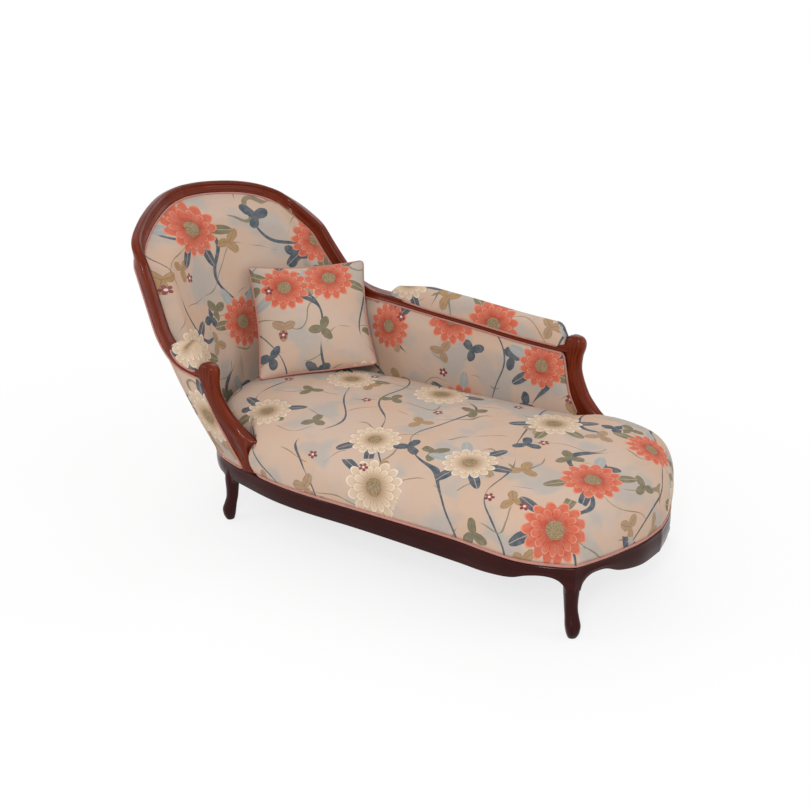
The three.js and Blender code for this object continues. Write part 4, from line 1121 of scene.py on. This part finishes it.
def foot_corner(place, z=0.0):
    """How far the plan is drawn out into a corner over a foot leg; it fades up the seat's side."""
    away = abs(abs(place) - FOOT_LEG_PLACE) * half_plan.length
    return FOOT_CORNER * math.exp(-away / 0.032) * (1 - smooth((z - RAIL_TOP - 0.006) / 0.03))


def rail_profile(place):
    """Section of a rail: a flat underside for the webbing behind a shaped, slightly swelled apron."""
    low = RAIL_BOTTOM + scallop_lift(place) - leg_drop(place)
    rise = RAIL_TOP - low
    swell = [
        (0.0006 - 0.0022 * math.sin(math.pi * t), low + 0.007 + t * (rise - 0.017)) for t in spread(0, 1, 8)
    ]
    return [
        (RAIL_THICKNESS, FRAME_UNDERSIDE), (APRON_THICKNESS, FRAME_UNDERSIDE), (APRON_THICKNESS, low + 0.001),
        (APRON_THICKNESS - 0.001, low), (0.008, low),
        *arc((0.0055, low + 0.0045), 0.0045, -90, -170, 5),
        *swell,
        *arc((0.0065, RAIL_TOP - 0.0065), 0.0065, 175, 90, 6),
        (RAIL_THICKNESS - 0.002, RAIL_TOP), (RAIL_THICKNESS, RAIL_TOP - 0.002),
    ]


def rail_ring(place):
    out = foot_corner(place)
    return [frame_point(place, inset - out, z) for inset, z in rail_profile(place)]


class RECAMIER_OT_rails(bpy.types.Operator):
    """Makes the two side rails, the head rail and the scalloped foot rail"""

    bl_idname = "recamier.rails"
    bl_label = "Seat rails"

    def execute(self, context):
        half = plan_step(LEG_HALF) + plan_step(JOINT_GAP)
        for name, start, end in (
            ("near_side_rail", -FOOT_LEG_PLACE + half, -HEAD_LEG_PLACE - half),
            ("far_side_rail", HEAD_LEG_PLACE + half, FOOT_LEG_PLACE - half),
            ("head_rail", -HEAD_LEG_PLACE + half, HEAD_LEG_PLACE - half),
        ):
            run = (end - start) * half_plan.length
            places = spread(start, end, max(20, round(run / WOOD_PITCH)))
            self.rail(name, places, run)
        start = FOOT_LEG_PLACE + half
        places = [-place for place in spread(start, 1, 40)] + spread(1, start, 40)[1:]
        self.rail("foot_rail", places, 2 * (1 - start) * half_plan.length)
        return {"FINISHED"}

    def rail(self, name, places, run):
        mesh = grained([rail_ring(place) for place in places], run, RAIL_GIRTH)
        piece(f"{name}_shaped", mesh, "mahogany", (name,), crease=38)


class RECAMIER_OT_legs(bpy.types.Operator):
    """Makes the four cabriole legs with their blocks"""

    bl_idname = "recamier.legs"
    bl_label = "Legs"

    def execute(self, context):
        half = plan_step(LEG_HALF)
        for end, at, kick_out in (
            ("head_near", -HEAD_LEG_PLACE, HEAD_LEG_KICK), ("head_far", HEAD_LEG_PLACE, HEAD_LEG_KICK),
            ("foot_near", -FOOT_LEG_PLACE, FOOT_LEG_KICK), ("foot_far", FOOT_LEG_PLACE, FOOT_LEG_KICK),
        ):
            mesh = grained([rail_ring(p) for p in spread(at - half, at + half, 25)], 2 * LEG_HALF, RAIL_GIRTH)
            rings = [self.leg_ring(at, kick_out, share) for share in spread(LEG_ROWS[0][0], 0, 90)]
            leg = grained(rings, LEG_ROWS[0][0] * RAIL_BOTTOM, LEG_GIRTH)
            carried = bpy.data.meshes.new("leg_shape")
            leg.to_mesh(carried)
            leg.free()
            mesh.from_mesh(carried)
            bpy.data.meshes.remove(carried)
            piece(f"{end}_leg_cabriole", mesh, "mahogany", (f"{end}_leg",), crease=42)
        return {"FINISHED"}

    def leg_ring(self, at, kick_out, share):
        """Section of a leg at a share of its height: pointed outwards and squared inwards."""
        outward, along = -plan_inward(at), plan_tangent(at)
        kick, size = eased(LEG_ROWS, share)
        centre = frame_point(at, RAIL_THICKNESS / 2, 0) + outward * (kick * kick_out)
        reach = size * LEG_SIZE / 2
        ring = []
        for a in angles(32):
            c, s = math.cos(a), math.sin(a)
            p = centre + outward * (squared(c, mix(0.66, 1.15, max(0, c))) * reach)
            p = p + along * (squared(s, 0.72) * reach)
            ring.append(Vector((p.x, p.y, share * RAIL_BOTTOM)))
        return ring


# Upholstery


@functools.lru_cache(maxsize=None)
def ear_reach(z):
    return eased(EAR_ROWS, z)[0]


def walled(place, z):
    """1 where a wall stands behind the seat's edge, 0 where the side is open."""
    reach = ear_reach(round(z, 4))
    near = (NEAR_STUMP_PLACE - place) * half_plan.length
    far = (place - FAR_STUMP_PLACE) * half_plan.length
    return 1 - smooth((max(near, far) - reach + EAR_LENGTH) / EAR_LENGTH)


def dome_rim(place, z):
    """The seat's rim, which leans back with the wall where there is one."""
    wall = walled(place, z)
    held = clamp(place, NEAR_STUMP_PLACE, FAR_STUMP_PLACE)
    foot = plan_point(held)
    flare = wall_face(held, z) - Vector((foot.x, foot.y, z))
    inset = mix(COVER_INSET - foot_corner(place, z), WALL_INSET, wall)
    return frame_point(place, inset, z) + flare * wall


def seat_places():
    """Places round the seat, closer at its ears, and mirrored so that both sides meet on the middle line."""
    places = [-1 + 2 * i / SEAT_COLUMNS for i in range(SEAT_COLUMNS)]
    for stump, way in ((NEAR_STUMP_PLACE, -1), (FAR_STUMP_PLACE, 1)):
        places += [stump + way * plan_step(d) for d in spread(-0.03, 0.066, 34)]
    for leg in (-FOOT_LEG_PLACE, FOOT_LEG_PLACE):
        places += [leg + plan_step(d) for d in spread(-0.04, 0.04, 17)]
    return sorted({round(way * place, 7) for place in places for way in (-1, 1)} - {1.0})


def spine_x(x):
    """The nearest point of the seat's middle line, towards which its dome closes."""
    return clamp(x, SPINE_HEAD_X, SPINE_FOOT_X)


def seat_print(p):
    """The print laid on the seat from above, with its sides folded out from the crown."""
    drop = max(0.0, SEAT_CROWN - p.z - 0.01) * 0.9
    out = Vector((p.x - spine_x(p.x), p.y, 0))
    out = out.normalized() if out.length > 0.02 else Vector()
    return p.x + out.x * drop + SEAT_PRINT[0], p.y + out.y * drop + SEAT_PRINT[1]


class RECAMIER_OT_seat(bpy.types.Operator):
    """Makes the domed seat"""

    bl_idname = "recamier.seat"
    bl_label = "Seat"

    def execute(self, context):
        table = Route([(rise, way, 0) for rise, way in DOME_ROWS], 200)
        places = seat_places()
        rings = []
        for rise, way, _ in [table.point(t) for t in spread(0, 1, 34)]:
            z = mix(SEAT_RIM_Z, SEAT_CROWN, rise)
            rings.append([dome_rim(p, z).lerp(Vector((spine_x(plan_point(p).x), 0, z)), way) for p in places])
        mesh = lofted(rings, ends=False)
        lay_print(mesh, seat_print)
        rim = [e for e in mesh.edges if e.is_boundary]
        under = bmesh.ops.extrude_edge_only(mesh, edges=rim)["geom"]
        for vert in under:
            if isinstance(vert, bmesh.types.BMVert):
                vert.co += (Vector((0.1, 0, vert.co.z)) - vert.co) * 0.03
        bmesh.ops.holes_fill(mesh, edges=[e for e in mesh.edges if e.is_boundary], sides=0)
        bmesh.ops.recalc_face_normals(mesh, faces=mesh.faces)
        seat = piece("seat_domed", mesh, "floral_cloth", ("seat_cover",))
        held = [v.index for v in seat.data.vertices if v.co.z < SEAT_RIM_Z + 0.012]
        puffed(seat, held, pressure=3.0, cap=context.scene.recamier_sizes.seat_puff)
        return {"FINISHED"}


MIDDLE_LINE = [(show, *edge_at(show, show_face(show) / 2)) for show in spread(0, 1, 200)]


def wood_near(place, z):
    return min((math.hypot((p - place) * half_plan.length, h - z), show) for show, p, h in MIDDLE_LINE)


def padding_at(place, z, swell):
    distance, show = wood_near(place, z)
    wood = show_depth(show) - PADDING_DEPTH - PANEL_RECESS
    full = BACK_PADDING + swell * smooth((z - RAIL_TOP) / (SEAT_CROWN - RAIL_TOP) - 0.5)
    roll = smooth((distance - show_face(show) / 2) / PANEL_ROLL)
    to_stump = min(place - NEAR_STUMP_PLACE, FAR_STUMP_PLACE - place) * half_plan.length
    stump_roll = smooth((to_stump - STUMP_SIZE / 2) / PANEL_ROLL)
    return min(mix(wood, full, roll), mix(STUMP_PADDING, full, stump_roll))


def cloth_top(show, depth):
    """The plan place and height where a layer of cloth meets the show wood."""
    target = on_show(show, show_face(show) + 0.0004, depth)
    place, z = edge_at(show, show_face(show))
    for _ in range(6):
        miss = target - wall_point(place, z, depth)
        place += miss.dot(plan_tangent(place)) / half_plan.length
        z += miss.z
    return place, z


def cloth_columns(start, end, depth_at, tuck, pitch, low, bends, count):
    """Columns of plan places and heights from low up to the show wood; the ends follow the stumps."""
    near, far = stump_back("near", tuck), stump_back("far", tuck)
    columns = []
    for show in spread(start, end, max(8, round((end - start) * show_edge.length / pitch))):
        top_place, top = cloth_top(show, depth_at(show))
        to_near = (show - FIRST_CLOTH) * show_edge.length
        to_far = (LAST_CLOTH - show) * show_edge.length
        column = []
        for t in spread(0, 1, count):
            z = mix(low, top, 1 - (1 - t) ** bends)
            place = top_place
            for rows, distance in ((near, to_near), (far, to_far)):
                share = 1 - smooth(distance / STUMP_EASE)
                if share > 0:
                    place += share * (eased(rows, z)[0] - eased(rows, top)[0])
            column.append((place, z))
        columns.append(column)
    return columns


FIRST_CLOTH = show_over(eased(stump_back("near", INSIDE_TUCK), NEAR_ARM_Z - ARM_FACE)[0])
LAST_CLOTH = show_over(eased(stump_back("far", INSIDE_TUCK), FAR_ARM_Z - ARM_FACE)[0])


def front_point(place, z, swell):
    return wall_point(place, z, PADDING_DEPTH + padding_at(place, z, swell))


def inside_depth(show):
    return show_depth(show) - PANEL_RECESS


def wall_print(around, straight, way, corner):
    """The print laid round a wall: bent round its head end, and straight along its arms."""

    def spot(p):
        if p.x < WALL_BEND_X:
            across = around * math.atan2(p.y, -(p.x - WALL_BEND_X))
        else:
            across = math.copysign(straight + (p.x - WALL_BEND_X), p.y)
        return way * across + corner[0], p.z * PRINT_RISE + corner[1]

    return spot


class RECAMIER_OT_panels(bpy.types.Operator):
    """Makes the padded inside back and the two inside arms"""

    bl_idname = "recamier.panels"
    bl_label = "Inside panels"

    def execute(self, context):
        seam = show_step(JOINT_GAP)
        for name, a, b, swell in (
            ("near_inside_arm", FIRST_CLOTH, NEAR_JOINT - seam, ARM_SWELL),
            ("inside_back", NEAR_JOINT + seam, FAR_JOINT - seam, BACK_SWELL),
            ("far_inside_arm", FAR_JOINT + seam, LAST_CLOTH, ARM_SWELL),
        ):
            columns = cloth_columns(
                a, b, inside_depth, INSIDE_TUCK, pitch=0.013, low=RAIL_TOP + 0.045, bends=1.4, count=34
            )
            fronts = []
            for column in columns:
                front = [front_point(place, z, swell) for place, z in column]
                back = [wall_point(place, z, PADDING_DEPTH) for place, z in column[::8]]
                fronts.append(front + back[::-1])
            mesh = lofted(fronts)
            lay_print(mesh, wall_print(around=0.42, straight=0.66, way=1, corner=(1.13, 0.17)))
            made = piece(f"{name}_padded", mesh, "floral_cloth", (f"{name}_panel",), crease=60)
        return {"FINISHED"}


class RECAMIER_OT_outside(bpy.types.Operator):
    """Makes the three covers stretched over the outside"""

    bl_idname = "recamier.outside"
    bl_label = "Outside covers"

    def execute(self, context):
        seam = show_step(JOINT_GAP)
        for name, a, b in (
            ("near_outside_arm", FIRST_CLOTH, NEAR_JOINT - seam),
            ("outside_back", NEAR_JOINT + seam, FAR_JOINT - seam),
            ("far_outside_arm", FAR_JOINT + seam, LAST_CLOTH),
        ):
            columns = cloth_columns(
                a, b, lambda show: OUTER_COVER_DEPTH, OUTSIDE_TUCK, pitch=0.016, low=RAIL_TOP + 0.0006,
                bends=1.0, count=26,
            )
            rings = [[wall_point(place, z, OUTER_COVER_DEPTH) for place, z in column] for column in columns]
            area = 0.0
            for one, two in zip(rings, rings[1:]):
                for p, q, r, s in zip(one, one[1:], two[1:], two):
                    area += ((r - p).cross(s - q)).length / 2
            mesh = lofted(rings, closed=False, ends=False)
            lay_print(mesh, wall_print(around=0.52, straight=0.8, way=-1, corner=(3.1, 0.4)))
            mesh.normal_update()
            middle = Vector((0, 0, 0.6))
            if sum(f.normal.dot(f.calc_center_median() - middle) for f in mesh.faces) < 0:
                bmesh.ops.reverse_faces(mesh, faces=mesh.faces)
            made = piece(f"{name}_stretched", mesh, "floral_cloth", (f"{name}_cover",))
            body = made.modifiers.new("Cloth thickness", "SOLIDIFY")
            body.thickness = COVER_CLOTH
            body.offset = -1
            half_way = len(rings[0]) // 2 - 1
            width = sum((q[half_way] - p[half_way]).length for p, q in zip(rings, rings[1:]))
            tall = max((r[-1] - r[0]).length for r in rings)
        return {"FINISHED"}


# Half the section of an arm pad, as shares of its half width and of its height
PAD_HALF = ((1.04, -0.15), (1.12, -0.08), (1.15, 0.06), (1.14, 0.3), (1.06, 0.58), (0.84, 0.82), (0.46, 0.96))
PAD_SECTION = (*[(-across, up) for across, up in PAD_HALF], (0, 1.0), *PAD_HALF[::-1])
PAD_LEAD = show_step(STUMP_SIZE * 0.62)
# Arm pads: start, end, height, and how far the start rises to the full height
PADS = {
    "near": (PAD_LEAD, NEAR_JOINT + show_step(ARCH_FACE / 2), NEAR_PAD_HEIGHT - 0.004, 0.03),
    "far": (FAR_JOINT + show_step(FAR_PAD_LEAD), 1 - PAD_LEAD, FAR_PAD_HEIGHT - 0.004, 0.17),
}


def pad_ring(name, show):
    """Section of an arm pad, which laps over both faces of the arm rail and is drawn down at its ends."""
    start, end, height, slope = PADS[name]
    to_start, to_end = (show - start) * show_edge.length, (end - show) * show_edge.length
    share = max(0.1, min(1.0, to_start / 0.03, to_end / 0.035))
    share = math.sqrt(1 - (1 - share) ** 2) * mix(0.56, 1, smooth(to_start / slope))
    half = (show_depth(show) / 2 - 0.002) * mix(0.35, 1, min(1.0, share * 1.12))
    middle = show_depth(show) / 2
    return [on_show(show, 0.001 - up * height * share, middle + across * half) for across, up in PAD_SECTION]


class RECAMIER_OT_arm_pads(bpy.types.Operator):
    """Makes the two padded arm tops"""

    bl_idname = "recamier.arm_pads"
    bl_label = "Arm pads"

    def execute(self, context):
        for name, (start, end, _, _) in PADS.items():
            run = (end - start) * show_edge.length
            rings = []
            for show in spread(start, end, max(24, round(run / PAD_PITCH))):
                table = Route(pad_ring(name, show), 120)
                rings.append([table.point(t) for t in spread(0, 1, PAD_POINTS)])
            mesh = lofted(
                rings, lambda u, v, run=run: (u * run + PAD_PRINT[0], v * PAD_GIRTH + PAD_PRINT[1])
            )
            made = piece(f"{name}_arm_pad_padded", mesh, "floral_cloth", (f"{name}_arm_pad",), crease=70)
            hems = (0, 1, PAD_POINTS - 2, PAD_POINTS - 1)
            held = [v.index for v in made.data.vertices if v.index % PAD_POINTS in hems]
            puffed(made, held, pressure=3.0, cap=context.scene.recamier_sizes.pad_puff, frames=14)
        return {"FINISHED"}


def pillow_matrix():
    face = Vector((math.cos(PILLOW_YAW), math.sin(PILLOW_YAW), 0))
    side = Vector((-math.sin(PILLOW_YAW), math.cos(PILLOW_YAW), 0))
    up = Vector((0, 0, math.cos(PILLOW_LEAN))) - face * math.sin(PILLOW_LEAN)
    out = side.cross(up)
    z = SEAT_CROWN + PILLOW_LIFT + PILLOW_SIZE / 2 * math.cos(PILLOW_LEAN)
    turned = Matrix((side, up, out)).transposed().to_4x4()
    return Matrix.Translation((PILLOW_PLACE[0] + PLAN_SHIFT, PILLOW_PLACE[1], z)) @ turned


def pillow_spot(u, v):
    """Outline of the pillow: sides drawn in, and the corner that the long arm presses up."""
    half = PILLOW_SIZE / 2
    pressed = PILLOW_PRESS * (max(0.0, u) * max(0.0, -v)) ** 1.5
    x = u * half * (1 - PILLOW_DRAWN * (1 - v * v) * abs(u))
    y = v * half * (1 - PILLOW_DRAWN * (1 - u * u) * abs(v)) + pressed
    return x, y


def pillow_mesh():
    """The pillow lying flat at the origin: two printed sides that swell towards the middle."""
    half = PILLOW_SIZE / 2
    mesh = bmesh.new()
    layer = mesh.loops.layers.uv.new("print")
    bmesh.ops.create_grid(mesh, x_segments=PILLOW_CELLS, y_segments=PILLOW_CELLS, size=half, calc_uvs=True)
    bmesh.ops.solidify(mesh, geom=mesh.faces, thickness=2 * PILLOW_SEAM)
    mid_z = sum(v.co.z for v in mesh.verts) / len(mesh.verts)
    for face in mesh.faces:
        corner = PILLOW_FRONT_PRINT if face.calc_center_median().z > mid_z else PILLOW_BACK_PRINT
        for loop in face.loops:
            loop[layer].uv = (loop.vert.co.x + corner[0], loop.vert.co.y + corner[1])
    for vert in mesh.verts:
        u, v = vert.co.x / half, vert.co.y / half
        way = 1 if vert.co.z > mid_z else -1
        crown = max(0.0, (1 - abs(u) ** 2.8) * (1 - abs(v) ** 2.8)) ** 0.62
        vert.co = (*pillow_spot(u, v), way * (PILLOW_SEAM + (PILLOW_THICKNESS / 2 - PILLOW_ROOM) * crown))
    bmesh.ops.recalc_face_normals(mesh, faces=mesh.faces)
    return mesh


def pillow_edge():
    """Points round the seam of the pillow where it lies."""
    points = []
    for k in range(4 * PILLOW_CELLS):
        side, t = divmod(k, PILLOW_CELLS)
        a = -1 + 2 * t / PILLOW_CELLS
        u, v = ((a, -1), (1, a), (-a, 1), (-1, -a))[side]
        spot = Vector((*pillow_spot(u, v), 0)) * 1.004
        points.append(pillow_matrix() @ spot - Vector((PLAN_SHIFT, 0, 0)))
    return points


class RECAMIER_OT_pillow(bpy.types.Operator):
    """Makes the loose square pillow with its welt"""

    bl_idname = "recamier.pillow"
    bl_label = "Pillow"

    def execute(self, context):
        sizes = context.scene.recamier_sizes
        made = piece(
            "throw_pillow_padded", pillow_mesh(), "floral_cloth", ("throw_pillow",), "pillow", shift=False
        )
        held = [v.index for v in made.data.vertices if abs(v.co.z) < 1.55 * PILLOW_SEAM]
        puffed(made, held, pressure=6.0, cap=sizes.pillow_puff)
        made.data.transform(pillow_matrix())
        soft = made.modifiers.new("Soft", "SUBSURF")
        soft.levels = soft.render_levels = 1
        tube("throw_pillow_welt", pillow_edge(), sizes.pillow_welt / 2, body="pillow", closed=True)
        return {"FINISHED"}


class RECAMIER_OT_welts(bpy.types.Operator):
    """Makes the piping along the seat, the panels and the arm pads"""

    bl_idname = "recamier.welts"
    bl_label = "Welts"

    def execute(self, context):
        sizes = context.scene.recamier_sizes
        self.seat_welt(sizes.seat_welt / 2)
        self.panel_welts(sizes.panel_welt / 2)
        return {"FINISHED"}

    def seat_welt(self, radius):
        low = RAIL_TOP + WELT_PROUD + radius

        def seat_line(place, z):
            return dome_rim(place, z) + plan_inward(place) * SEAT_WELT_INSET

        def ear_line(stump, way):
            points = []
            for z in spread(EAR_TOP, low, 22):
                reach = ear_reach(round(z, 4)) - EAR_LENGTH * 0.35
                points.append(seat_line(stump + way * plan_step(reach), z))
            return points

        turn = plan_step(ear_reach(round(low, 4)))
        places = spread(NEAR_STUMP_PLACE - turn, -1, 150) + spread(1, FAR_STUMP_PLACE + turn, 70)[1:]
        run = [seat_line(place, low) for place in places]
        path = ear_line(NEAR_STUMP_PLACE, -1) + run + ear_line(FAR_STUMP_PLACE, 1)[::-1]
        tube("seat_welt_piped", path, radius, ("seat_welt",))

    def panel_welts(self, radius):
        shows = spread(FIRST_CLOTH, LAST_CLOTH, 420)

        def stump_line(name, tuck, low, depth_at):
            top = (NEAR_ARM_Z if name == "near" else FAR_ARM_Z) - ARM_FACE - radius
            rows = stump_back(name, tuck)
            spots = [(eased(rows, z)[0], z) for z in spread(low, top, 40)]
            return [wall_point(place, z, depth_at(place, z)) for place, z in spots]

        def along_wood(low, tuck, depth_at, edge_depth):
            """Up the near stump, along the show wood and down the far stump."""
            edge = [
                on_show(show, show_face(show) + radius * 0.8, edge_depth(show) + WELT_PROUD) for show in shows
            ]
            ends = [stump_line(name, tuck - radius, low, depth_at) for name in ("near", "far")]
            return [*ends[0], *edge, *ends[1][::-1]]

        def padded_depth(place, z):
            return PADDING_DEPTH + padding_at(place, z, ARM_SWELL)

        path = along_wood(SEAT_CROWN - 0.05, INSIDE_TUCK, padded_depth, inside_depth)
        tube("inside_panel_welt", path, radius)
        low = RAIL_TOP + radius
        near_foot, far_foot = (eased(stump_back(n, OUTSIDE_TUCK), low)[0] for n in ("near", "far"))
        foot = [wall_point(place, low, WELT_PROUD) for place in spread(far_foot, near_foot, 200)[1:-1]]
        edge = along_wood(low, OUTSIDE_TUCK, lambda place, z: OUTER_COVER_DEPTH - 0.001, lambda show: 0)
        tube("outside_panel_welt", edge + foot, radius, closed=True)
        for name, (a, b, _, _) in PADS.items():
            rings = [pad_ring(name, show) for show in spread(a, b, 70)]
            path = [ring[-2] for ring in rings] + [ring[1] for ring in rings][::-1]
            tube(f"{name}_arm_pad_welt", path, radius, closed=True)


HIDDEN_SLOTS = ("beech", "jute", "horsehair", "spring_steel", "black_cambric")


class RECAMIER_OT_hidden(bpy.types.Operator):
    """Finishes the pieces inside and under the seat, which keep their own shape"""

    bl_idname = "recamier.hidden"
    bl_label = "Hidden pieces"

    def execute(self, context):
        for part in frame["record"]["subparts"]:
            if part["material_slot"] in HIDDEN_SLOTS:
                for material_slot in frame["nodes"][part["node"]].material_slots:
                    material_slot.material = finish(part["material_slot"])
        return {"FINISHED"}


# Stage


# Lamps: place, size and power
LAMPS = {
    "key": ((2.0, -3.4, 3.6), 1.5, 50),
    "fill": ((-3.2, -2.4, 2.4), 2.2, 18),
    "back": ((-1.0, 3.2, 3.4), 2.6, 40),
    "side": ((3.6, 1.2, 2.4), 1.6, 22),
    "spark": ((1.5, -3.3, 2.3), 0.35, 32),
    "spark_head": ((-2.2, -2.4, 2.6), 0.25, 10),
}
LAMP_AIM = (0, 0, 0.45)

# Camera fitted to the photograph: the way to it, the point it looks at, and its focal length in pixels
CAMERA_AZIMUTH = math.radians(32.634)
CAMERA_ELEVATION = math.radians(21.297)
CAMERA_DISTANCE = 3.434
CAMERA_LOOK = (0.0518 + PLAN_SHIFT, -0.0432, 0.4223)
CAMERA_FOCAL = 1100
IMAGE_WIDTH = 810
SENSOR_WIDTH = 36
WHITE = (1, 1, 1, 1)


class RECAMIER_OT_stage(bpy.types.Operator):
    """Makes the floor, the lights, the world and the camera"""

    bl_idname = "recamier.stage"
    bl_label = "Stage"

    def execute(self, context):
        scene = context.scene
        scene.view_settings.view_transform = "Standard"
        mesh = bmesh.new()
        bmesh.ops.create_grid(mesh, x_segments=1, y_segments=1, size=30)
        data = bpy.data.meshes.new("floor")
        mesh.to_mesh(data)
        mesh.free()
        data.materials.append(self.floor_finish(scene.recamier_colours.floor))
        new_object("floor", data)
        self.light_world(scene)
        for name, (place, size, power) in LAMPS.items():
            lamp = bpy.data.lights.new(name, "AREA")
            lamp.size = size
            lamp.energy = power
            self.point(new_object(name, lamp), Vector(place), Vector(LAMP_AIM) - Vector(place))
        level = math.cos(CAMERA_ELEVATION)
        back = Vector((
            math.sin(CAMERA_AZIMUTH) * level, -math.cos(CAMERA_AZIMUTH) * level, math.sin(CAMERA_ELEVATION),
        ))
        lens = bpy.data.cameras.new("camera")
        lens.sensor_width = SENSOR_WIDTH
        lens.lens = SENSOR_WIDTH * CAMERA_FOCAL / IMAGE_WIDTH
        scene.camera = new_object("camera", lens)
        self.point(scene.camera, Vector(CAMERA_LOOK) + back * CAMERA_DISTANCE, -back)
        return {"FINISHED"}

    def point(self, made, place, way):
        """Puts a lamp or the camera at a place, looking a way."""
        made.location = place
        made.rotation_euler = way.to_track_quat("-Z", "Y").to_euler()

    def floor_finish(self, tone):
        """A pale floor that the eye and reflections see as white, with the shadow kept near the object."""
        f = new_finish("floor")
        base = f.blend(f.noise(f.on_object(), 2.0, 2.0) * 0.04, tone, tuple(c * 0.9 for c in tone))
        shader = f.node("ShaderNodeBsdfPrincipled", None, {"Base Color": base, "Roughness": 0.9})
        white = f.node("ShaderNodeEmission", None, {"Color": WHITE, "Strength": 1.0})
        x, y, _ = f.split(f.on_object())
        share = (x * x * 0.55 + y * y).math("SQRT").above(1.15, 0.75) * 0.24 + 0.76
        shown = {0: share * f.sees_white(), 1: shader.outputs[0], 2: white.outputs[0]}
        f.node("ShaderNodeOutputMaterial", None, {0: f.node("ShaderNodeMixShader", None, shown).outputs[0]})
        return f.owner

    def light_world(self, scene):
        """A white world that lights the object a little less than it shows."""
        scene.world = bpy.data.worlds.new("studio")
        f = Finish(scene.world)
        strength = f.node("ShaderNodeMapRange", None, {0: f.sees_white(), 3: 0.75, 4: 1.0})
        light = f.node("ShaderNodeBackground", None, {0: WHITE, 1: strength.outputs[0]})
        f.node("ShaderNodeOutputWorld", None, {0: light.outputs[0]})


STEPS = (
    RECAMIER_OT_stage, RECAMIER_OT_show_wood, RECAMIER_OT_stumps, RECAMIER_OT_rails, RECAMIER_OT_legs,
    RECAMIER_OT_seat, RECAMIER_OT_panels, RECAMIER_OT_outside, RECAMIER_OT_arm_pads, RECAMIER_OT_pillow,
    RECAMIER_OT_welts, RECAMIER_OT_hidden,
)


class RECAMIER_PT_build(bpy.types.Panel):
    """Lists the sizes, the colours and the steps of the recamier"""

    bl_label = "Recamier"
    bl_idname = "RECAMIER_PT_build"
    bl_space_type = "VIEW_3D"
    bl_region_type = "UI"
    bl_category = "Recamier"

    def draw(self, context):
        for group in (context.scene.recamier_sizes, context.scene.recamier_colours):
            column = self.layout.column()
            for name in group.__annotations__:
                column.prop(group, name)
        for step in STEPS:
            self.layout.operator(step.bl_idname)


CLASSES = (RecamierSizes, RecamierColours, *STEPS, RECAMIER_PT_build)


def register():
    for item in CLASSES:
        bpy.utils.register_class(item)
    bpy.types.Scene.recamier_sizes = PointerProperty(type=RecamierSizes)
    bpy.types.Scene.recamier_colours = PointerProperty(type=RecamierColours)


def unregister():
    del bpy.types.Scene.recamier_colours
    del bpy.types.Scene.recamier_sizes
    for item in reversed(CLASSES):
        bpy.utils.unregister_class(item)


def main():
    register()
    for step in STEPS:
        group, name = step.bl_idname.split(".")
        getattr(getattr(bpy.ops, group), name)()


if __name__ == "__main__":
    main()
